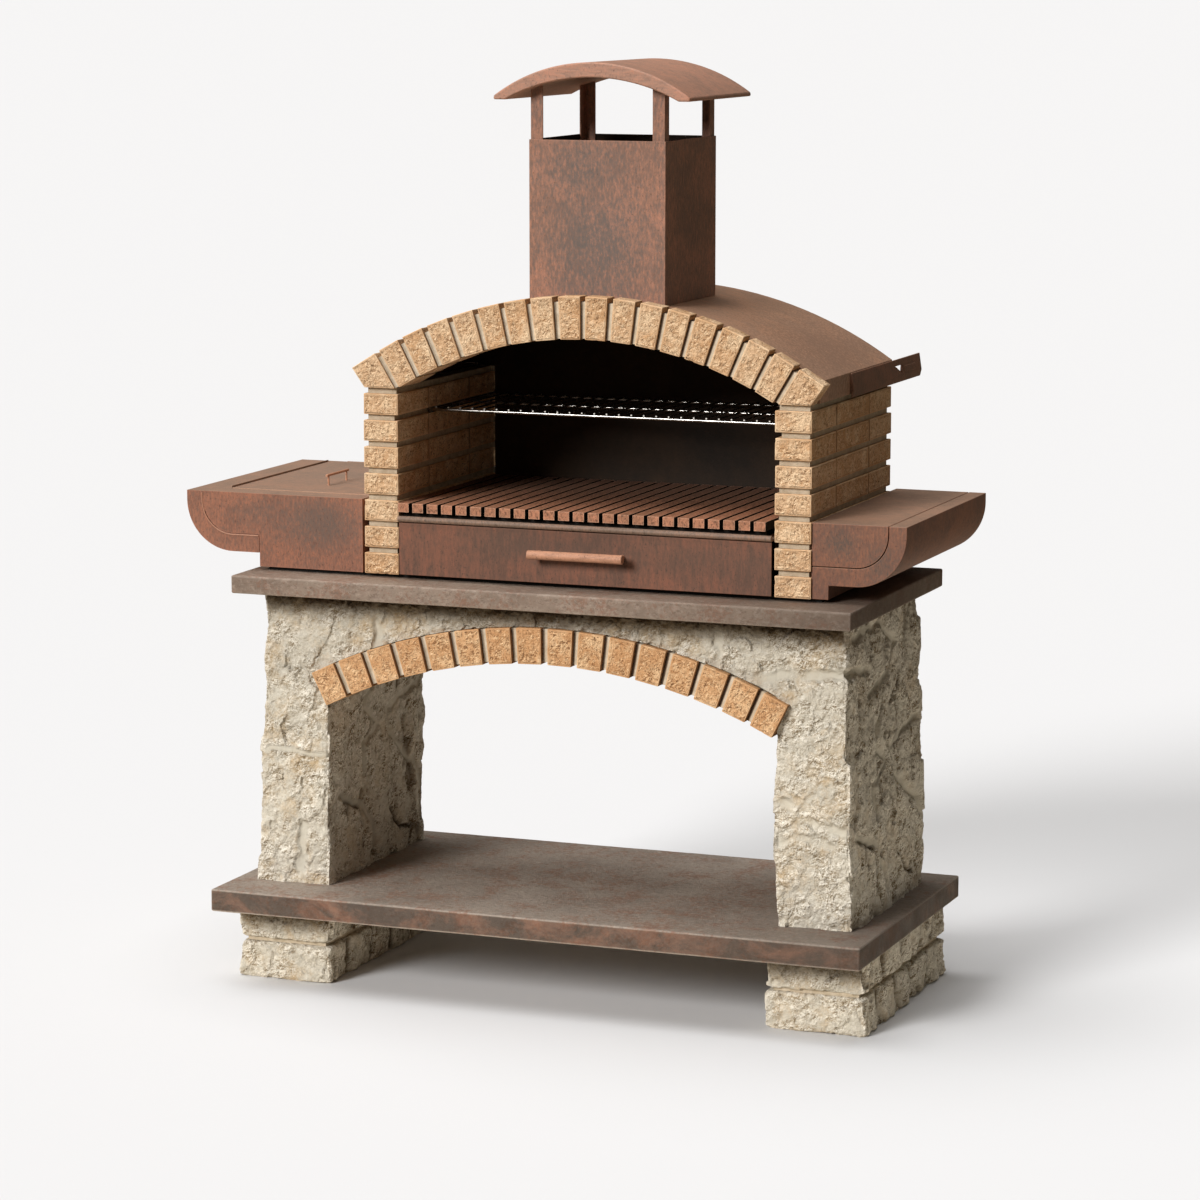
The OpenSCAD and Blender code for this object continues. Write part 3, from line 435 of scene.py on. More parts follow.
# Each slab's dark patch is painted shade towards its right end
worktopSkin = slabFinish("worktopSlab", (116, 99, 87), (146, 129, 115), (170, 154, 141), (132, 92, 72), 0.6,
                         (58, 44, 35), 0.10, [((1.05, -0.20, 0.80), (0.95, 0.9, 0.4), 0.85)])
shelfSkin = slabFinish("shelfSlab", (122, 112, 103), (154, 142, 131), (176, 161, 147), (132, 90, 69), 0.7,
                       (58, 44, 35), 0.82, [((0.95, -0.20, 0.15), (0.70, 0.8, 0.4), 0.62)])
fireBrickSkin = brickFinish("fireBrick", (219, 184, 148), (200, 152, 106), (246, 218, 182), (118, 84, 54))
archBrickSkin = brickFinish("archBrick", (212, 166, 122), (194, 142, 96), (242, 208, 166), (104, 70, 42))
mortarSkin = mortarFinish("jointMortar", (200, 186, 165), (172, 156, 132))
boxSkin = steelFinish("boxSteel", (124, 86, 70), (142, 96, 76), (158, 104, 80), (98, 85, 77), (182, 128, 104),
                      [((-0.52, -0.305, 1.040), (0.17, 0.30, 0.085), 1.0),
                       ((-0.66, -0.305, 1.06), (0.10, 0.30, 0.05), 0.6)], fade=(0.49, 0.70))
boxTopSkin = steelFinish("boxTopSteel", (134, 110, 94), (146, 118, 100), (156, 121, 101), (128, 110, 98),
                         (186, 150, 128), [((-0.62, 0.1, 1.10), (0.25, 0.30, 0.08), 0.5)],
                         streaks=(40, 150, 150))
tableSkin = steelFinish("tableSteel", (112, 79, 65), (126, 86, 68), (140, 94, 72), (84, 74, 67),
                        (176, 126, 102), [((0.70, -0.305, 1.06), (0.06, 0.10, 0.05), 0.9),
                                          ((0.79, -0.305, 1.02), (0.05, 0.10, 0.06), 0.7)], fade=(0.49, 0.70))
tableTopSkin = steelFinish("tableTopSteel", (128, 102, 86), (141, 112, 93), (153, 117, 96), (114, 95, 83),
                           (176, 136, 114), streaks=(40, 150, 150))
chimneySkin = steelFinish("chimneySteel", (132, 99, 84), (156, 112, 91), (178, 124, 100), (92, 89, 86),
                          (212, 162, 136), [((0.125, -0.246, 1.67), (0.17, 0.12, 0.20), 1.0),
                                            ((0.09, -0.246, 1.83), (0.16, 0.12, 0.12), 0.75)],
                          roughness=0.5, fade=(0.47, 0.70))
capSkin = steelFinish("capSteel", (154, 118, 101), (170, 128, 108), (184, 132, 109), (142, 120, 106),
                      (216, 174, 152), streaks=(30, 170, 170))
hoodSkin = steelFinish("hoodSteel", (162, 128, 106), (176, 137, 112), (188, 142, 113), (134, 104, 86),
                       (192, 152, 128), [((0.56, 0.02, 1.42), (0.26, 0.55, 0.20), 0.9)],
                       streaks=(22, 150, 40), roughness=0.45)
drawerSkin = steelFinish("drawerSteel", (98, 70, 57), (114, 78, 62), (130, 84, 65), (88, 69, 58),
                         (146, 104, 84), [((0.02, -0.315, 1.02), (0.34, 0.10, 0.060), 0.9),
                                          ((0.40, -0.315, 1.01), (0.24, 0.10, 0.06), 0.9)],
                         streaks=(95, 95, 18), fade=(0.47, 0.76))
# The bars' near-black patina patch covers the back of the grate: painted shade under the hood
barSkin = steelFinish("barSteel", (154, 107, 80), (170, 117, 89), (184, 125, 95), (56, 39, 29),
                      (232, 188, 160), [((0.10, 0.17, 1.12), (0.90, 0.47, 0.2), 1.0)],
                      streaks=(180, 30, 180), roughness=0.6, fade=(0.50, 0.61))
handleSkin = steelFinish("handleSteel", (160, 116, 92), (178, 130, 104), (192, 140, 112), (150, 116, 96),
                         (210, 164, 138), streaks=(30, 160, 160))
lipSkin = steelFinish("lipSteel", (112, 92, 78), (124, 102, 88), (138, 108, 90), (104, 92, 84),
                      (176, 156, 140))
bracketSkin = steelFinish("bracketSteel", (104, 76, 60), (118, 84, 66), (132, 90, 70), (96, 78, 66),
                          (170, 128, 106))
# Soot, dark enough inside the hood and flue to stand also for painted shade
sootAndShadeSkin = plainFinish("sootAndShadeSteel", (50, 33, 17), (28, 18, 9))
traySkin = plainFinish("ashTray", (26, 19, 14), (14, 10, 7), 0.9)
# Painted shade for the sides of the grate bars
barSideShadeSkin = plainFinish("barSidesPaintedShade", (24, 16, 11), (13, 9, 6), 0.9)
# Painted highlight for the pale strip on the lid's front edge
edgeHighlightSkin = plainFinish("paintedEdgeHighlight", (190, 154, 130), (172, 136, 112), 0.45)
# Pale tone of the panel's bead: painted highlight
beadHighlightSkin = plainFinish("panelBeadHighlight", (184, 136, 112), (160, 114, 92), 0.4)
baseSkin = plainFinish("recessedBase", (30, 27, 24), (16, 15, 14), 0.9)
runnerSkin = plainFinish("runnerSteel", (84, 76, 70), (52, 46, 42), 0.55, 0.6)
pinSkin = plainFinish("pinSteel", (170, 168, 164), (120, 116, 110), 0.35, 1.0)
# Painted glints for the grill's rod ends
rodGlintSkin = plainFinish("rodEndGlint", (238, 236, 232), (214, 211, 206), 0.4)
chromeSkin = chromeFinish("grillChrome", (156, 154, 151), (112, 109, 105))
print("materials made")


# Shapes

# Whole numbers at the corners of a cubic lattice, mixed by multiplying and shifting
def latticeBits(cell, seed):
    x, y, z = (cell[..., k].astype(np.uint64) for k in range(3))
    bits = x * np.uint64(73856093) ^ y * np.uint64(19349663) ^ z * np.uint64(83492791)
    bits = (bits ^ np.uint64(seed * 7919 + 101)) * np.uint64(2654435761)
    bits = (bits ^ (bits >> np.uint64(17))) * np.uint64(2246822519)
    return bits ^ (bits >> np.uint64(13))


# Number from 0 to 1: ten of those bits over the largest that ten bits can say
def shareOf(bits, shift):
    return ((bits >> np.uint64(shift)) & np.uint64(1023)) / 1023


def threeShares(bits):
    return np.stack([shareOf(bits, shift) for shift in (3, 13, 23)], -1)


# Smooth noise from -1 to 1: a random slope at each lattice corner, blended with an s-curve
def smoothNoise(points, size, seed):
    q = points / size + 0.37 * (seed % 13 + 1)
    base = np.floor(q).astype(np.int64)
    part = q - base
    fade = part ** 3 * (part * (part * 6 - 15) + 10)
    value = np.zeros(points.shape[:-1])
    for corner in np.ndindex(2, 2, 2):
        offset = np.array(corner)
        slope = 2 * threeShares(latticeBits(base + offset, seed)) - 1
        weight = np.prod(np.where(offset == 1, fade, 1 - fade), axis=-1)
        value += weight * np.sum(slope * (part - offset), axis=-1)
    return value


# Noise at several sizes, each half the size and half the height of the one before
def layeredNoise(points, size, layers, seed):
    return sum(0.5 ** k * smoothNoise(points, size / 2 ** k, seed + k) for k in range(layers))


# Chiselled facets, about -1 to 1: each lattice cell has a point with a random slope of its own, and the
# nearest point's slope gives the height, so that the height jumps where two facets meet
def facetNoise(points, size, seed):
    q = points / size + 0.31 * (seed % 11 + 1)
    base = np.floor(q).astype(np.int64)
    nearest, level = np.full(len(points), 9.0), np.zeros(len(points))
    for corner in np.ndindex(3, 3, 3):
        cell = base + np.array(corner) - 1
        bits = latticeBits(cell, seed + 77)
        away = q - cell - threeShares(latticeBits(cell, seed))
        reach = np.sum(away ** 2, axis=1)
        slope = 2 * threeShares(bits) - 1
        value = 1.1 * np.sum(slope * away, axis=1) + 0.45 * (2 * shareOf(bits, 33) - 1)
        level = np.where(reach < nearest, value, level)
        nearest = np.minimum(nearest, reach)
    return level


# S-curve from 0 to 1 between two limits
def ease(value, low, high):
    t = np.clip((value - low) / (high - low), 0, 1)
    return t * t * (3 - 2 * t)


# First point of each group that falls together at a fineness, and the group that each point is in
def weld(points, fineness):
    keys = np.round(points * fineness).astype(np.int64)
    _, first, group = np.unique(keys, axis=0, return_index=True, return_inverse=True)
    return first, group.reshape(-1)


# Places of grid rows along one side: close rows in the rounded edges, even rows between
def gridRows(length, step, radius):
    edge = np.array([0.0, 0.35, 0.7, 1.0]) * radius / length
    middle = np.linspace(edge[-1], 1 - edge[-1], max(2, int(round((length - 2 * radius) / step)) + 1))
    return np.concatenate([edge[:-1], middle, 1 - edge[-2::-1]])


# Closed block between eight corners [a][b][c]. Each point of the unit cube's six gridded faces is blended
# from the corners; near an edge it is drawn in to the radius, along the line to the block shrunk by that
# radius. Returns points, faces, outward normals, distance from the nearest edge, and the face of each point
def blockSurface(corners, steps, radius, rounded=(1, 1, 1)):
    corners = np.asarray(corners, float)
    size = np.array([np.linalg.norm(np.diff(corners, axis=k), axis=-1).mean() for k in range(3)])
    rows = [gridRows(size[k], steps[k], radius) for k in range(3)]
    places, faces, count = [], [], 0
    for axis in range(3):
        first, second = (axis + 1) % 3, (axis + 2) % 3
        u, v = np.meshgrid(rows[first], rows[second], indexing="ij")
        index = np.arange(u.size).reshape(u.shape)
        quads = np.stack([index[:-1, :-1], index[1:, :-1], index[1:, 1:], index[:-1, 1:]], -1).reshape(-1, 4)
        for side in (0.0, 1.0):
            spot = np.zeros(u.shape + (3,))
            spot[..., first], spot[..., second], spot[..., axis] = u, v, side
            places.append(spot.reshape(-1, 3))
            faces.append((quads if side else quads[:, ::-1]) + count)
            count += u.size
    places, faces = np.concatenate(places), np.concatenate(faces)
    keep, merged = weld(places, 1e7)
    places, faces = places[keep], merged[faces]
    local = places * size
    inner = np.where(np.array(rounded) > 0, np.clip(local, radius, size - radius), local)
    lean = local - inner
    length = np.linalg.norm(lean, axis=1, keepdims=True)
    outward = np.where(length > 1e-9, lean / np.maximum(length, 1e-9), 0)
    flat = np.where(places < 0.5, -1.0, 1.0) * ((places < 1e-9) | (places > 1 - 1e-9))
    square = flat / np.maximum(np.linalg.norm(flat, axis=1, keepdims=True), 1e-9)
    outward = np.where(length > 1e-9, outward, square)
    local = np.where(length > 1e-9, inner + outward * radius, local)
    toEdge = np.sort(np.minimum(places, 1 - places) * size, axis=1)[:, 1]
    share = np.clip(local / size, 0, 1)
    weight = np.stack([1 - share, share], -1)
    points = np.einsum("ni,nj,nk,ijkd->nd", weight[:, 0], weight[:, 1], weight[:, 2], corners)
    sides = np.stack([np.diff(corners, axis=k).reshape(-1, 3).mean(0) for k in range(3)])
    normals = outward @ (sides / np.linalg.norm(sides, axis=1, keepdims=True))
    normals /= np.maximum(np.linalg.norm(normals, axis=1, keepdims=True), 1e-9)
    return points, faces, normals, toEdge, flat


# Corners [a][b][c] of an upright box
def boxCorners(low, high):
    grid = np.array(list(np.ndindex(2, 2, 2))).reshape(2, 2, 2, 3)
    return np.array(low) + grid * (np.array(high) - np.array(low))


# Puts arrays into a mesh object, with named values per point
def newPiece(name, points, faces, material, values=None, sharpAngle=50):
    mesh = bpy.data.meshes.new(name)
    mesh.from_pydata(points.tolist(), [], faces if isinstance(faces, list) else faces.tolist())
    for key, level in (values or {}).items():
        mesh.attributes.new(key, "FLOAT", "POINT").data.foreach_set("value", np.asarray(level, np.float32))
    mesh.shade_smooth()
    mesh.set_sharp_from_angle(angle=math.radians(sharpAngle))
    mesh.materials.append(material)
    piece = bpy.data.objects.new(name, mesh)
    scene.collection.objects.link(piece)
    return piece


# Hangs a piece under its body's empty and hides the imported nodes it stands for.
# slotName is not used
def settle(piece, body, slotName, *replaced):
    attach(piece, body)
    if replaced:
        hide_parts(*replaced)
    return piece


# Distance of points (n by 2) from the nearest of several lines, each through several corners
def lineDistance(flat, lines):
    nearest = np.full(len(flat), 1e9)
    for corners in lines:
        for a, b in zip(np.array(corners[:-1]), np.array(corners[1:])):
            along = np.clip(((flat - a) @ (b - a)) / ((b - a) @ (b - a)), 0, 1)
            nearest = np.minimum(nearest, np.linalg.norm(flat - a - along[:, None] * (b - a), axis=1))
    return nearest


# 1 up to the first distance from the lines, 0 beyond the second
def lineMask(flat, lines, near, far):
    return 1 - ease(lineDistance(flat, lines), near, far)


# Hewn stone; lines are in the front plane (x, z) or in the side planes (y, z). Each reach is the distance
# from a line, or below the slab, at which its effect begins to fade and the one at which it ends
stoneShape = {
    "lump": 0.0052, "lumpSize": 0.095, "facet": 0.0046, "facetSize": 0.046, "grain": 0.0009,
    "grainSize": 0.0100, "slant": (0.62, 0.20, 0.76), "drawn": 0.45, "warp": 0.014, "warpSize": 0.045,
    "limits": (-0.0135, 0.0085),
    "jointDepth": 0.0018, "seamDepth": 0.0030, "crackDepth": 0.0085, "veinHeight": 0.0042, "slabDepth": 0.006,
    "jointReach": (0.004, 0.015), "seamReach": (0.003, 0.013), "crackReach": (0.0015, 0.0080),
    "veinReach": (0.002, 0.009), "pillowReach": (0.0, 0.035), "slabReach": (0.006, 0.022),
    # shade and sideShade set the painted shadow under the slab, on the front and on the sides
    "shadeReach": (0.010, 0.085), "sideShadeReach": (0.004, 0.026), "shade": 0.9, "sideShade": 0.15,
    "sidePillow": 0.003, "sideJoint": 1.0, "top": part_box("pier_left")[1].z,
    "veins": [[(-0.648, 0.521), (-0.641, 0.529), (-0.583, 0.527), (-0.550, 0.523), (-0.500, 0.522)]],
    "frontJoints": [[(-0.570, 0.222), (-0.568, 0.282), (-0.562, 0.335), (-0.556, 0.36)],
                    [(-0.371, 0.895), (-0.373, 0.805), (-0.384, 0.750)],
                    [(0.426, 0.895), (0.429, 0.839), (0.422, 0.760)],
                    [(0.500, 0.757), (0.620, 0.772), (0.735, 0.781)],
                    [(0.540, 0.502), (0.605, 0.481), (0.657, 0.447), (0.740, 0.432)],
                    [(0.540, 0.402), (0.622, 0.417), (0.683, 0.407), (0.745, 0.415)]],
    "sideLines": [[(-0.313, 0.784), (-0.155, 0.764)],
                  [(-0.266, 0.844), (-0.047, 0.852), (0.040, 0.796), (-0.015, 0.736), (-0.153, 0.708)],
                  [(-0.075, 0.695), (-0.122, 0.593), (-0.036, 0.543), (-0.119, 0.507), (-0.116, 0.438)],
                  [(-0.253, 0.414), (-0.114, 0.369), (-0.069, 0.308), (-0.059, 0.267)],
                  [(0.193, 0.606), (0.106, 0.595), (0.006, 0.569), (0.028, 0.505), (0.172, 0.416),
                   (0.235, 0.333)]],
    "cracks": [[(-0.092, 0.560), (-0.119, 0.507), (-0.122, 0.438)],
               [(-0.235, 0.402), (-0.150, 0.372), (-0.128, 0.322), (-0.118, 0.272)],
               [(0.060, 0.735), (0.045, 0.655), (0.062, 0.615)],
               [(0.020, 0.330), (0.085, 0.275), (0.150, 0.262)]],
}


# How far the stone stands out of its plain block at each point, with how much of it is joint, how high it
# lies in its neighbourhood, how much painted shade it gets and whether it is on a side. The painted shade
# lies in crevices, in the low facets of the sides, in the cuts between plinth blocks and as a shadow under
# the slab above. Broad lumps carry two sizes of chiselled facets and a grain, drawn out along a slant. Along
# a front joint this fades into a smooth trough, along a side line it is cut in
def stoneRelief(points, normals, seed, shape):
    slant = np.array(shape["slant"]) / np.linalg.norm(shape["slant"])
    drawn = points - shape["drawn"] * (points @ slant)[:, None] * slant
    warp = [layeredNoise(points, shape["warpSize"], 2, seed + 40 + k) for k in range(3)]
    warp = np.stack(warp, -1) * shape["warp"]
    front = ease(-normals[:, 1], 0.55, 0.8)
    side = ease(np.abs(normals[:, 0]), 0.55, 0.8)
    broad = shape["lump"] * 1.8 * layeredNoise(drawn, shape["lumpSize"], 2, seed) * (1 + 0.6 * side)
    large = facetNoise(drawn + warp, shape["facetSize"], seed + 3)
    small = facetNoise(drawn + warp * 0.6, shape["facetSize"] * 0.36, seed + 4)
    grain = 2 * layeredNoise(points, shape["grainSize"], 2, seed + 9)
    tall = facetNoise(points * (1, 1, 0.42) + warp, shape["facetSize"] * 1.05, seed + 5)
    chiselled = np.where(front > 0.5, large, tall * 1.25) + 0.36 * small
    rock = broad + shape["facet"] * chiselled + shape["grain"] * grain
    facing, flank = (points + warp)[:, (0, 2)], (points + warp)[:, (1, 2)]
    strength = ease(smoothNoise(points, 0.05, seed + 60), -0.35, 0.10)
    joint = lineMask(facing, shape["frontJoints"], *shape["jointReach"]) * front * strength
    vein = lineMask((points + warp * 0.3)[:, (0, 2)], shape["veins"], *shape["veinReach"]) * front
    creviceShade = lineMask(flank, shape["cracks"], *shape["crackReach"]) * side
    nearest = lineDistance(flank, shape["sideLines"])
    seam = (1 - ease(nearest, *shape["seamReach"])) * side
    joint = np.maximum(joint, seam * shape["sideJoint"])
    height = rock * (1 - 0.92 * joint) * (1 - 0.5 * creviceShade)
    height = height + shape["sidePillow"] * (ease(nearest, *shape["pillowReach"]) - 0.6) * side
    height = height - shape["jointDepth"] * joint - shape["seamDepth"] * seam - shape["crackDepth"] * creviceShade
    height = height * (1 - 0.9 * vein) + shape["veinHeight"] * vein
    rise = np.clip(0.3 * large + 0.4 * small + 0.5 * grain + side * (1.4 * tall + 0.5 * small), -2, 2)
    below = shape["top"] - points[:, 2] + 0.005 * grain + 0.004 * small
    height = height - shape["slabDepth"] * front * (1 - ease(below, *shape["slabReach"]))
    # Painted shadow under the slab above: a deep band on the front, a thin one on the sides
    top = shape["shade"] * front * (1 - ease(below, *shape["shadeReach"]))
    top = top + shape["sideShade"] * side * (1 - ease(below, *shape["sideShadeReach"]))
    smooth = np.maximum(joint, vein) * (1 - top)
    # Painted shade in the low facets of the sides
    creviceShade = np.maximum(creviceShade, 0.55 * side * ease(-tall - 0.4 * small, 0.25, 1.1))
    # All painted shade together: crevices, the cuts between plinth blocks and the shadow under the slab
    paintedShade = np.maximum(np.maximum(creviceShade, 0.8 * seam * (1 - shape["sideJoint"])), top)
    values = {"joint": smooth, "rise": rise * (1 - smooth), "creviceShade": paintedShade, "side": side}
    return np.clip(height, *shape["limits"]), values


def settleStone(name, node, points, quads, values):
    return settle(newPiece(name, points, quads, stoneSkin, values), "oven", "stone", node)


# Pier and arch stone: the block's skin is pushed out sideways only, so that it still meets the slabs.
# Where a pier runs on into the stone over the arch, its inner front edge stays sharp and dips a little
pierShape = {"step": 0.0026, "depthStep": 0.0046, "heightStep": 0.0031, "radius": 0.009, "sharpFrom": 0.690,
             "sharpOver": 0.02, "dip": 0.0015, "buried": 0.012, "overlap": 0.014, "seed": 11,
             "outerFoot": 0.7030, "innerFoot": 0.5340, "outerTop": 0.6790, "innerTop": 0.5220}

# The stone over the arch laps over the piers' tops, dips there in two steps and is buried at its very end
archStoneShape = {"depthStep": 0.02, "heightStep": 0.018, "radius": 0.0005, "clear": 0.0003, "dip": 0.0016,
                  "dipReach": (0.0, 0.010), "deepDip": 0.0060, "deepReach": (0.008, 0.0135), "end": 0.0138}


def makePier(name, node, sign):
    low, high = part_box(node)
    shape = pierShape
    corners = np.zeros((2, 2, 2, 3))
    for b, y in enumerate((low.y, high.y)):
        for c, (z, end) in enumerate(((low.z, "Foot"), (high.z, "Top"))):
            xs = sorted((middleX + sign * shape["outer" + end], middleX + sign * shape["inner" + end]))
            corners[0, b, c] = (xs[0], y, z)
            corners[1, b, c] = (xs[1], y, z)
    steps = (shape["step"], shape["depthStep"], shape["heightStep"])
    points, quads, normals, _, flat = blockSurface(corners, steps, shape["radius"], (1, 1, 0))
    sharp = blockSurface(corners, steps, shape["radius"], (0, 0, 0))[0]
    inner = np.interp(points[:, 2], (low.z, high.z), (shape["innerFoot"], shape["innerTop"]))
    innerX = middleX + sign * inner
    away = np.abs(points[:, 0] - innerX)
    beside = ease(points[:, 2], shape["sharpFrom"], shape["sharpFrom"] + shape["sharpOver"])
    beside *= (away < shape["sharpOver"]) & (points[:, 1] < low.y + shape["sharpOver"])
    points = points + (sharp - points) * beside[:, None]
    towardsFront = np.where((flat[:, 1] < 0)[:, None], (0.0, -1.0, 0.0), normals)
    normals = normals + (towardsFront - normals) * beside[:, None]
    height, values = stoneRelief(points, normals, shape["seed"], stoneShape)
    aside = beside * (np.abs(normals[:, 0]) > 0.5)
    height = height * (1 - aside)
    away = np.abs(points[:, 0] - innerX)
    height = height - shape["dip"] * beside * (1 - ease(away, 0.0, shape["overlap"]))
    points = points + normals * (1, 1, 0) * height[:, None]
    points[:, 1] += aside * np.maximum(low.y + shape["buried"] - points[:, 1], 0)
    return settleStone(name, node, points, quads, values)


def makeArchStone():
    low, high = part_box("arch_stone")
    shape = archStoneShape
    reach = pierShape["innerTop"] + pierShape["overlap"]
    corners = boxCorners((middleX - reach, low.y, 0), (middleX + reach, high.y, 1))
    steps = (pierShape["step"], shape["depthStep"], shape["heightStep"])
    points, quads, normals, _, flat = blockSurface(corners, steps, shape["radius"], (0, 0, 0))
    under = (lowerArch["outer"] + shape["clear"]) ** 2 - (points[:, 0] - middleX) ** 2
    under = lowerArch["centreZ"] + np.sqrt(under)
    points[:, 2] = under + points[:, 2] * (high.z - under)
    normals = np.where((flat[:, 1] < 0)[:, None], (0.0, -1.0, 0.0), normals)
    height, values = stoneRelief(points, normals, pierShape["seed"], stoneShape)
    past = np.abs(points[:, 0] - middleX) - pierShape["innerTop"]
    height = height - shape["dip"] * ease(past, *shape["dipReach"])
    height = height - shape["deepDip"] * ease(past, *shape["deepReach"])
    points = points + normals * (0, 1, 0) * height[:, None]
    buried = np.maximum(points[:, 1], low.y + pierShape["buried"])
    points[:, 1] = np.where(past > shape["end"], buried, points[:, 1])
    return settleStone("archStone", "arch_stone", points, quads, values)


# Each course of a plinth is one block with cuts across its sides, at these y places; the lower one leans in
plinthStone = dict(stoneShape, lump=0.0040, lumpSize=0.07, facetSize=0.034, veins=[], frontJoints=[],
                   cracks=[], sidePillow=0.011, sideJoint=0.0, top=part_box("plinth_left_upper")[1].z)
plinthShape = {"step": 0.0042, "radius": 0.009, "outerLean": 0.006, "innerLean": 0.003, "cutLean": 0.008,
               "cutPast": 0.01,
               "lower": {"cuts": (-0.235, -0.115, -0.005, 0.125), "seed": 23},
               "upper": {"cuts": (-0.190, -0.055, 0.070, 0.185), "seed": 31}}


def makePlinth(name, node, sign, course):
    low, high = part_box(node)
    shape = plinthShape
    corners = boxCorners(low, high)
    if course == "lower":
        outer, inner = (0, 1) if sign < 0 else (1, 0)
        corners[outer, :, 1, 0] -= sign * shape["outerLean"]
        corners[inner, :, 1, 0] += sign * shape["innerLean"]
    points, quads, normals = blockSurface(corners, (shape["step"],) * 3, shape["radius"])[:3]
    past, lean = shape["cutPast"], shape["cutLean"]
    lines = [[(y, low.z - past), (y + lean, high.z + past)] for y in shape[course]["cuts"]]
    height, values = stoneRelief(points, normals, shape[course]["seed"], dict(plinthStone, sideLines=lines))
    points = points + normals * (1, 1, 0.25) * height[:, None]
    points[:, 2] = np.clip(points[:, 2], low.z, high.z)
    return settleStone(name, node, points, quads, values)


# The lower arch; middle is how far above its inner circle the width of a joint is measured
middleX = (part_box("worktop")[0].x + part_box("worktop")[1].x) / 2
lowerArch = {"centreZ": -0.401, "inner": 1.163, "outer": 1.243, "half": 0.525, "count": 16, "joint": 0.014,
             "middle": 0.040}
makePier("leftPier", "pier_left", -1)
makePier("rightPier", "pier_right", 1)
makeArchStone()
for sideName, sign in (("left", -1), ("right", 1)):
    for course in ("lower", "upper"):
        makePlinth(sideName + "Plinth" + course.capitalize(), f"plinth_{sideName}_{course}", sign, course)
print("stone made")


# Slab with eased edges and a face that is not quite flat
slabShape = {"radius": 0.0045, "step": 0.014, "wave": 0.0007, "waveSize": 0.16, "grain": 0.00025,
             "grainSize": 0.02}


def makeSlab(name, node, skin):
    low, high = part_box(node)
    shape = slabShape
    points, quads, normals = blockSurface(boxCorners(low, high), (shape["step"],) * 3, shape["radius"])[:3]
    wave = shape["wave"] * (layeredNoise(points, shape["waveSize"], 2, 3) - 0.5)
    grain = shape["grain"] * layeredNoise(points, shape["grainSize"], 2, 7)
    points = points + normals * np.minimum(wave + grain, 0)[:, None]
    rim = ease(1 - np.abs(normals[:, 2]), 0.6, 0.95)
    return settle(newPiece(name, points, quads, skin, {"rim": rim}), "oven", "slab", node)


makeSlab("worktopSlab", "worktop", worktopSkin)
makeSlab("shelfSlab", "lower_shelf", shelfSkin)
print("slabs made")


# Numbers that all broken brick faces share: pits get painted shade on faces rougher than pitFrom
brokenShape = {"jitter": 0.0004, "facetSize": 0.008, "lumpSize": 0.012, "holeSize": 0.0095, "chipSize": 0.016,
               "chipDepth": 0.0014, "chipReach": 0.006, "buttReach": (0.0015, 0.0035), "pitFrom": 0.0009}


# Bricks: each is a block whose faces are broken up inside a border; all bricks of a node go into one mesh. A
# look's rough gives the height of the broken skin on the front, on the sides and on the beds, butts the y
# places where two bricks meet without mortar, which get a line of painted shade, and the last key how much
# the sides turned to the right are darkened with painted shade
def makeBricks(name, node, blocks, look, skin, slotName, seed):
    generator = np.random.default_rng(seed)
    rough, rim, shape = look["rough"], look["rim"], brokenShape
    allPoints, allFaces, count = [], [], 0
    values = {"brickTone": [], "brickShade": [], "inside": [], "rise": []}
    for corners in blocks:
        jitter = generator.normal(0, shape["jitter"], 3)
        points, quads, normals, toEdge = blockSurface(corners, look["steps"], look["radius"])[:4]
        spot = points + generator.uniform(-5, 5, 3)
        level = np.abs(normals) @ np.array([rough[1], rough[0], rough[2]])
        inside = ease(toEdge, rim * 0.5, rim * 1.6)
        broken = 0.40 * facetNoise(spot, shape["facetSize"], seed)
        broken = broken + 0.8 * layeredNoise(spot, shape["lumpSize"], 2, seed + 4) - 0.75
        holes = ease(smoothNoise(spot * (0.8, 1, 1), shape["holeSize"], seed + 8), 0.26, 0.46)
        height = level * (inside * (broken - 0.8 * holes) - look["sink"] * inside)
        chips = ease(smoothNoise(spot, shape["chipSize"], seed + 12), 0.30, 0.55)
        chips = chips * (1 - ease(toEdge, 0.0, shape["chipReach"]))
        height = height - shape["chipDepth"] * chips
        # Painted shade: sides turned to the right, pits on rough faces, and lines where two bricks butt
        dark = look["rightSideShade"] * ease(normals[:, 0], 0.35, 0.75)
        dark = np.maximum(dark, inside * 0.6 * holes * (level > shape["pitFrom"]))
        for y in look["butts"]:
            dark = np.maximum(dark, 1 - ease(np.abs(points[:, 1] - y), *shape["buttReach"]))
        allPoints.append(points + normals * height[:, None] + jitter * (1, 0, 0))
        allFaces.append(quads + count)
        count += len(points)
        values["brickTone"].append(np.full(len(points), generator.uniform(0, 1)))
        values["brickShade"].append(dark)
        values["inside"].append(inside * np.clip(level / max(rough), 0, 1) ** 0.5)
        values["rise"].append(np.clip((broken + 0.75) * 1.3, -1, 1) * inside)
    values = {key: np.concatenate(levels) for key, levels in values.items()}
    piece = newPiece(name, np.concatenate(allPoints), np.concatenate(allFaces), skin, values)
    return settle(piece, "oven", slotName, node)


wallShape = {"middleX": 0.1155, "inner": 0.4375, "outer": 0.5195, "frontY": -0.311, "depth": 0.564,
             "footZ": 0.938, "brick": 0.046, "pitch": 0.059, "courses": 7, "cuts": (0, 0.303, 0.713, 1),
             "gap": 0.002}


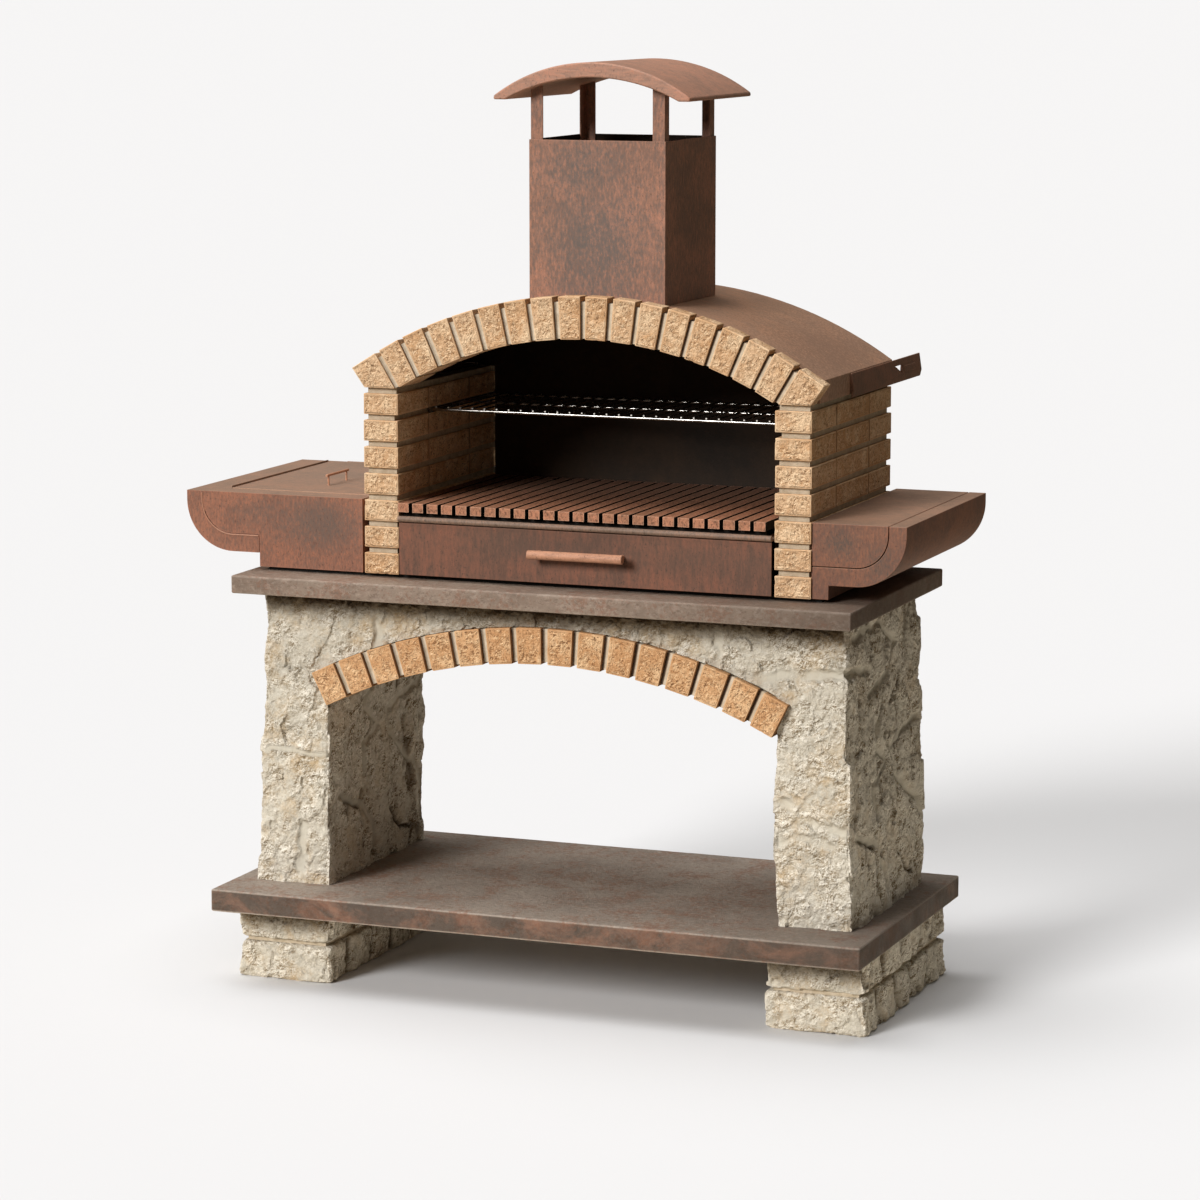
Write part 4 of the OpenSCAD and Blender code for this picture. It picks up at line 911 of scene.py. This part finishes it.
# Bricks of one wall: courses one pitch apart, each cut into three at shares of the wall's depth
def wallBlocks(sign):
    shape, blocks = wallShape, []
    xs = sorted((shape["middleX"] + sign * shape["inner"], shape["middleX"] + sign * shape["outer"]))
    for course in range(shape["courses"]):
        z = shape["footZ"] + course * shape["pitch"]
        for j in range(3):
            near = shape["frontY"] + shape["depth"] * shape["cuts"][j] + (shape["gap"] / 2 if j else 0)
            far = shape["frontY"] + shape["depth"] * shape["cuts"][j + 1] - (shape["gap"] / 2 if j < 2 else 0)
            blocks.append(boxCorners((xs[0], near, z), (xs[1], far, z + shape["brick"])))
    return blocks


upperArch = {"centreX": 0.1155, "inner": 0.843, "outer": 0.936, "half": 0.4375, "springZ": 1.351, "count": 16,
             "joint": 0.012, "middle": 0.0465, "frontY": -0.313, "faceDepth": 0.0452, "depth": 0.110,
             "backOuter": 0.9244, "backOverlap": 0.001, "tip": 0.5465, "footOuter": 0.5165}


# Corner on a circle: angle from the upright, radius, depth
def archPoint(centreX, centreZ, angle, radius, y):
    return (centreX + radius * math.sin(angle), y, centreZ + radius * math.cos(angle))


# Eight corners between two angles, two radii and two depths
def wedge(centreX, centreZ, angles, radii, depths):
    return [[[archPoint(centreX, centreZ, a, r, y) for r in radii] for y in depths] for a in angles]


# Front and back parts of the wedge bricks, and the two corner stones. Each stone runs from the last joint,
# which leans by the tilt, out to its tip, and its top is square to that joint
def upperBlocks():
    arch = upperArch
    centreX, inner, outer = arch["centreX"], arch["inner"], arch["outer"]
    span = math.asin(arch["half"] / inner)
    springCos = inner * math.cos(span)
    centreZ = arch["springZ"] - springCos
    pitch, gap = 2 * span / arch["count"], arch["joint"] / (inner + arch["middle"])
    front, step, back = arch["frontY"], arch["frontY"] + arch["faceDepth"], arch["frontY"] + arch["depth"]
    faces, backs, corners = [], [], []
    for i in range(arch["count"]):
        angles = (-span + i * pitch + gap / 2, -span + (i + 1) * pitch - gap / 2)
        faces.append(wedge(centreX, centreZ, angles, (inner, outer), (front, step)))
        depths = (step - arch["backOverlap"], back)
        backs.append(wedge(centreX, centreZ, angles, (inner, arch["backOuter"]), depths))
    tilt = span + gap / 2
    topX, topZ = outer * math.sin(tilt), outer * math.cos(tilt)
    endZ = topZ - (arch["tip"] - topX) / math.cos(tilt) * math.sin(tilt)
    inside = [(springCos * math.tan(tilt), springCos), (topX, topZ)]
    outside = [(arch["footOuter"], springCos), (arch["tip"], endZ)]
    for sign in (-1, 1):
        columns = (inside, outside) if sign > 0 else (outside, inside)
        corners.append([[[(centreX + sign * x, y, centreZ + z) for x, z in column] for y in (front, step)]
                        for column in columns])
    return faces, backs, corners


# Wedge bricks of the lower arch: one pitch of angle apart, with a joint left between two of them
def lowerBlocks():
    arch = lowerArch
    span = math.asin(arch["half"] / arch["inner"])
    gap = arch["joint"] / (arch["inner"] + arch["middle"])
    pitch = (2 * span + gap) / arch["count"]
    low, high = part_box("lower_arch_bricks")
    return [wedge(middleX, arch["centreZ"], (-span + i * pitch, -span + (i + 1) * pitch - gap),
                  (arch["inner"], arch["outer"]), (low.y, high.y)) for i in range(arch["count"])]


wallSeams = [wallShape["frontY"] + wallShape["depth"] * cut for cut in wallShape["cuts"][1:3]]
wallLook = {"steps": (0.0030, 0.0068, 0.0030), "radius": 0.0016, "rough": (0.0030, 0.0016, 0.0004),
            "rim": 0.0030, "sink": 0.0, "butts": wallSeams, "rightSideShade": 0.0}
upperLook = {"steps": (0.0030, 0.0080, 0.0030), "radius": 0.0018, "rough": (0.0032, 0.0010, 0.0010),
             "rim": 0.0030, "sink": 0.0, "butts": (), "rightSideShade": 0.7}
cornerLook = dict(upperLook, steps=(0.0024, 0.0050, 0.0024), rough=(0.0032, 0.0012, 0.0010), rightSideShade=0.0)
lowerLook = {"steps": (0.0025, 0.012, 0.0025), "radius": 0.0022, "rough": (0.0024, 0.0007, 0.0007),
             "rim": 0.0032, "sink": 0.3, "butts": (), "rightSideShade": 0.9}
upperFaces, upperBacks, skewCorners = upperBlocks()
for name, node, blocks, look, seed in (
        ("leftWallBricks", "wall_left_bricks", wallBlocks(-1), wallLook, 101),
        ("rightWallBricks", "wall_right_bricks", wallBlocks(1), wallLook, 202),
        ("upperArchBricks", "upper_arch_bricks", upperFaces + upperBacks, upperLook, 303),
        ("leftCornerStone", "skewback_left", skewCorners[:1], cornerLook, 404),
        ("rightCornerStone", "skewback_right", skewCorners[1:], cornerLook, 405)):
    makeBricks(name, node, blocks, look, fireBrickSkin, "fire_brick", seed)
makeBricks("lowerArchBricks", "lower_arch_bricks", lowerBlocks(), lowerLook, archBrickSkin, "arch_brick", 505)
print("bricks made")


# Fineness of the weld in steps per metre, then angles in degrees: up to flat, two faces are joined into one,
# and from easeFrom on, an edge is eased
sheetShape = {"fineness": 2e5, "flat": 0.4, "sharp": 35, "easeFrom": 40}


# Sheet-metal pieces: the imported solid's own surface, welded, its flat faces joined up, its edges eased
def makeDressed(name, node, skin, width, body="oven", slotName=None, inner=None):
    source = nodes[node].data
    corners = np.zeros(len(source.vertices) * 3)
    source.vertices.foreach_get("co", corners)
    source.calc_loop_triangles()
    triangles = np.zeros(len(source.loop_triangles) * 3, np.int32)
    source.loop_triangles.foreach_get("vertices", triangles)
    corners = corners.reshape(-1, 3)
    keep, merged = weld(corners, sheetShape["fineness"])
    triangles = merged[triangles].reshape(-1, 3)
    a, b, c = triangles.T
    shell = bpy.data.meshes.new(name)
    shell.from_pydata(corners[keep].tolist(), [], triangles[(a != b) & (b != c) & (a != c)].tolist())
    work = bmesh.new()
    work.from_mesh(shell)
    flat = math.radians(sheetShape["flat"])
    bmesh.ops.dissolve_limit(work, angle_limit=flat, verts=work.verts, edges=work.edges)
    work.to_mesh(shell)
    work.free()
    shell.shade_smooth()
    shell.set_sharp_from_angle(angle=math.radians(sheetShape["sharp"]))
    shell.materials.append(skin)
    if inner is not None:
        innerSkin, isInner = inner
        shell.materials.append(innerSkin)
        for polygon in shell.polygons:
            polygon.material_index = 1 if isInner(polygon.center, polygon.normal) else 0
    piece = bpy.data.objects.new(name, shell)
    scene.collection.objects.link(piece)
    easing = piece.modifiers.new("easedEdges", "BEVEL")
    easing.width = width
    easing.segments = 2
    easing.limit_method = "ANGLE"
    easing.angle_limit = math.radians(sheetShape["easeFrom"])
    easing.harden_normals = False
    return settle(piece, body, slotName, node)


# Middles of the hood's circle and of the flue; the margin leaves out the thin edges of the hood's sheet
hoodShape = {"x": wallShape["middleX"], "z": 0.63, "margin": 0.05}
flueShape = {"x": 0.1225, "y": -0.086}


# True on the hood's inner skin: the face looks towards the middle of its circle
def insideHood(centre, normal):
    outward = normal.x * (centre.x - hoodShape["x"]) + normal.z * (centre.z - hoodShape["z"])
    return outward < -hoodShape["margin"] and abs(normal.y) < 0.5


# True on the flue's inner skin: the face looks towards its middle line
def insideFlue(centre, normal):
    outward = normal.x * (centre.x - flueShape["x"]) + normal.y * (centre.y - flueShape["y"])
    return outward < 0 and abs(normal.z) < 0.5


def facesUp(centre, normal):
    return normal.z > 0.7


def facesAside(centre, normal):
    return abs(normal.x) > 0.7


# The hood's and flue's inner faces get the soot skin, whose darkness is partly painted shade
sootAndShadeInHood, sootAndShadeInFlue, tableTop = (sootAndShadeSkin, insideHood), (sootAndShadeSkin, insideFlue), (tableTopSkin, facesUp)
makeDressed("hoodSheet", "hood", hoodSkin, 0.0012, "oven", "hood_steel", sootAndShadeInHood)
makeDressed("leftEaveBracket", "eave_bracket_left", bracketSkin, 0.0008, "oven", "hood_steel")
makeDressed("rightEaveBracket", "eave_bracket_right", bracketSkin, 0.0008, "oven", "hood_steel")
makeDressed("flueSheet", "chimney_flue", chimneySkin, 0.0012, "oven", "chimney_steel", sootAndShadeInFlue)
makeDressed("capPosts", "chimney_posts", chimneySkin, 0.0009, "oven", "chimney_steel")
makeDressed("capPlate", "chimney_cap", capSkin, 0.0030, "oven", "chimney_steel")
makeDressed("drawerFace", "drawer_front", drawerSkin, 0.0012, "drawer", "panel_steel")
makeDressed("drawerHandle", "drawer_handle_bar", handleSkin, 0.0016, "drawer", "handle_steel")
makeDressed("grateFrame", "grate_frame", lipSkin, 0.0006, "oven", "grate_iron")
# The bars' sides turned left and right get painted shade
makeDressed("grateBars", "grate_bars", barSkin, 0.0042, "grate", "grate_iron", (barSideShadeSkin, facesAside))
makeDressed("storageBox", "storage_box", boxSkin, 0.0014, "oven", "panel_steel", (boxTopSkin, facesUp))
makeDressed("boxLid", "box_lid", boxTopSkin, 0.0008, "lid", "panel_steel")
makeDressed("lidHandle", "lid_handle_rod", handleSkin, 0.0008, "lid", "handle_steel")
makeDressed("sideTable", "side_table_body", tableSkin, 0.0012, "oven", "panel_steel", tableTop)
makeDressed("sideTableBand", "side_table_band", tableSkin, 0.0012, "oven", "panel_steel", tableTop)
print("sheet metal made")


# Rod bent along a path of (x, z) at one y, with closed ends: rings of points square to the path
def makeBead(name, path, y, radius, skin, body, slotName, sides=12):
    path = np.array(path)
    ahead = np.gradient(path, axis=0)
    across = np.stack([-ahead[:, 1], ahead[:, 0]], -1) / np.linalg.norm(ahead, axis=1, keepdims=True)
    turn = np.linspace(0, 2 * np.pi, sides, endpoint=False)
    ring = radius * np.cos(turn)
    points = np.zeros((len(path), sides, 3))
    points[..., 0] = path[:, 0, None] + across[:, 0, None] * ring
    points[..., 2] = path[:, 1, None] + across[:, 1, None] * ring
    points[..., 1] = y + radius * np.sin(turn)
    index = np.arange(len(path) * sides).reshape(len(path), sides)
    after = np.roll(index, -1, axis=1)
    quads = np.stack([index[:-1], index[1:], after[1:], after[:-1]], -1).reshape(-1, 4).tolist()
    faces = quads + [index[0].tolist(), index[-1, ::-1].tolist()]
    return settle(newPiece(name, points.reshape(-1, 3), faces, skin), body, slotName)


# Trim of the storage box: a rim that stands up beside its lid, a pale strip on the lid's front edge as a
# painted highlight, and a pale bead round its front panel whose paleness is a painted highlight; the bead
# follows the panel's side, its quarter circle and its underside
trimShape = {"rimWidth": 0.0022, "rimHeight": 0.0062, "rimFoot": 0.0015, "rimShort": 0.02, "gap": 0.0006,
             "edgeBefore": 0.0004, "edgeFoot": 0.0001, "edgeTop": 0.0018, "centreX": -0.7320,
             "centreZ": 1.0815, "radius": 0.0752, "straight": 0.0640, "bead": 0.0015,
             "beadTop": (0.004, 0.010), "rimSteps": (0.01, 0.05, 0.01), "rimRadius": 0.0005, "arcPoints": 24}


def makeBoxTrim():
    shape = trimShape
    lidLow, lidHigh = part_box("box_lid")
    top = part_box("side_table_body")[1].z
    right = lidLow.x - shape["gap"]
    corners = boxCorners((right - shape["rimWidth"], lidLow.y, top - shape["rimFoot"]),
                         (right, lidHigh.y - shape["rimShort"], top + shape["rimHeight"]))
    points, quads = blockSurface(corners, shape["rimSteps"], shape["rimRadius"])[:2]
    settle(newPiece("lidRim", points, quads, boxTopSkin), "oven", "panel_steel")
    front = lidLow.y - shape["edgeBefore"]
    strip = [(x, front, top + shape[end]) for x, end in ((lidLow.x, "edgeFoot"), (lidHigh.x, "edgeFoot"),
                                                         (lidHigh.x, "edgeTop"), (lidLow.x, "edgeTop"))]
    settle(newPiece("lidEdgeHighlight", np.array(strip), [(0, 1, 2, 3)], edgeHighlightSkin), "lid", "panel_steel")
    turn = np.radians(np.linspace(180, 270, shape["arcPoints"]))
    arc = np.stack([shape["centreX"] + shape["radius"] * np.cos(turn),
                    shape["centreZ"] + shape["radius"] * np.sin(turn)], -1)
    up = [(arc[0, 0], top - drop) for drop in shape["beadTop"]]
    along = [(arc[-1, 0] + shape["straight"] * share, arc[-1, 1]) for share in (0.5, 1.0)]
    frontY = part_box("storage_box")[0].y
    makeBead("panelBeadHighlight", up + arc.tolist() + along, frontY, shape["bead"], beadHighlightSkin, "oven", "panel_steel")


makeBoxTrim()


# Painted glints on the ends of the grill's rods: a small near-white disc before each rod
tipShape = {"count": 30, "sides": 12, "inset": 0.00195, "radius": 0.0018, "z": 1.2930, "before": 0.0004}


def makeRodGlints():
    shape = tipShape
    low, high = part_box("grill_rods")
    turn = np.linspace(0, 2 * np.pi, shape["sides"], endpoint=False)
    middle = np.linspace(low.x + shape["inset"], high.x - shape["inset"], shape["count"])
    points = np.zeros((shape["count"], shape["sides"], 3))
    points[..., 0] = middle[:, None] + shape["radius"] * np.cos(turn)
    points[..., 1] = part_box("grill_frame")[0].y - shape["before"]
    points[..., 2] = shape["z"] + shape["radius"] * np.sin(turn)
    faces = np.arange(shape["count"] * shape["sides"]).reshape(-1, shape["sides"])
    settle(newPiece("rodEndGlints", points.reshape(-1, 3), faces, rodGlintSkin), "grill", "grill_chrome")


makeRodGlints()
print("trim made")


# Joints of an arch for the painted shadow strips of its mortar's skin, in radians: shift is how far the first
# joint's middle lies before the arch's left end, and endJoints says whether the arch begins and ends with a
# joint
def jointsOf(arch, centreX, centreZ, endJoints):
    span = math.asin(arch["half"] / arch["inner"])
    gap = arch["joint"] / (arch["inner"] + arch["middle"])
    pitch = (2 * span if endJoints else 2 * span + gap) / arch["count"]
    return {"centreX": centreX, "centreZ": centreZ, "span": span, "gap": gap, "pitch": pitch,
            "shift": 0 if endJoints else gap / 2}


upperCentreZ = upperArch["springZ"] - math.sqrt(upperArch["inner"] ** 2 - upperArch["half"] ** 2)
upperJoints = jointsOf(upperArch, upperArch["centreX"], upperCentreZ, True)
lowerJoints = jointsOf(lowerArch, middleX, lowerArch["centreZ"], False)
upperMortarSkin = mortarFinish("upperMortar", (216, 202, 182), (190, 174, 150), upperJoints)
lowerMortarSkin = mortarFinish("lowerMortar", (216, 202, 182), (190, 174, 150), lowerJoints)

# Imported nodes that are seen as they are, with their skins
keptSkins = {
    mortarSkin: ("plinth_left_bed", "plinth_right_bed", "wall_left_mortar", "wall_right_mortar"),
    lowerMortarSkin: ("lower_arch_mortar",),
    upperMortarSkin: ("upper_arch_mortar",),
    baseSkin: ("firebox_base",),
    sootAndShadeSkin: ("fire_back", "grate_ledges"),
    traySkin: ("drawer_tray", "grate_bearers"),
    runnerSkin: ("drawer_runners",),
    chromeSkin: ("grill_frame", "grill_rods"),
    pinSkin: ("lid_hinge_pins",),
    handleSkin: ("drawer_handle_posts", "lid_handle_legs"),
}
for skin, names in keptSkins.items():
    for node in names:
        nodes[node].data.materials.clear()
        nodes[node].data.materials.append(skin)
print("packed nodes painted")


# Floor: one flat sheet wide enough to fill the view up to the horizon. The camera sees it pale all over,
# while the light it gives back to the oven fades away from the middle, as between studio screens
floorShape = {"half": 400.0, "seen": tone(219, 220, 223), "near": tone(240, 233, 219),
              "far": tone(112, 103, 90), "nearReach": 1.2, "farReach": 2.5, "rampReach": 4.0}


def makeFloor():
    shape = floorShape
    half, whole = shape["half"], shape["rampReach"]
    mesh = bpy.data.meshes.new("studioFloor")
    corners = [(-half, -half, 0), (half, -half, 0), (half, half, 0), (-half, half, 0)]
    mesh.from_pydata(corners, [], [(0, 1, 2, 3)])
    material, tree, where = startFinish("studioFloor")
    seen = addNode(tree, "ShaderNodeBsdfDiffuse", {"Color": shape["seen"]}).outputs[0]
    stops = ((shape["nearReach"] / whole, shape["near"]), (shape["farReach"] / whole, shape["far"]))
    shade = ramp(sums("DIVIDE", lengthOf(where), whole), *stops)
    bounce = addNode(tree, "ShaderNodeBsdfDiffuse", {"Color": shade}).outputs[0]
    fromCamera = addNode(tree, "ShaderNodeLightPath").outputs["Is Camera Ray"]
    both = addNode(tree, "ShaderNodeMixShader", {0: fromCamera, 1: bounce, 2: seen}).outputs[0]
    addNode(tree, "ShaderNodeOutputMaterial", {"Surface": both})
    mesh.materials.append(material)
    floor = bpy.data.objects.new("studioFloor", mesh)
    scene.collection.objects.link(floor)


makeFloor()
print("floor laid")
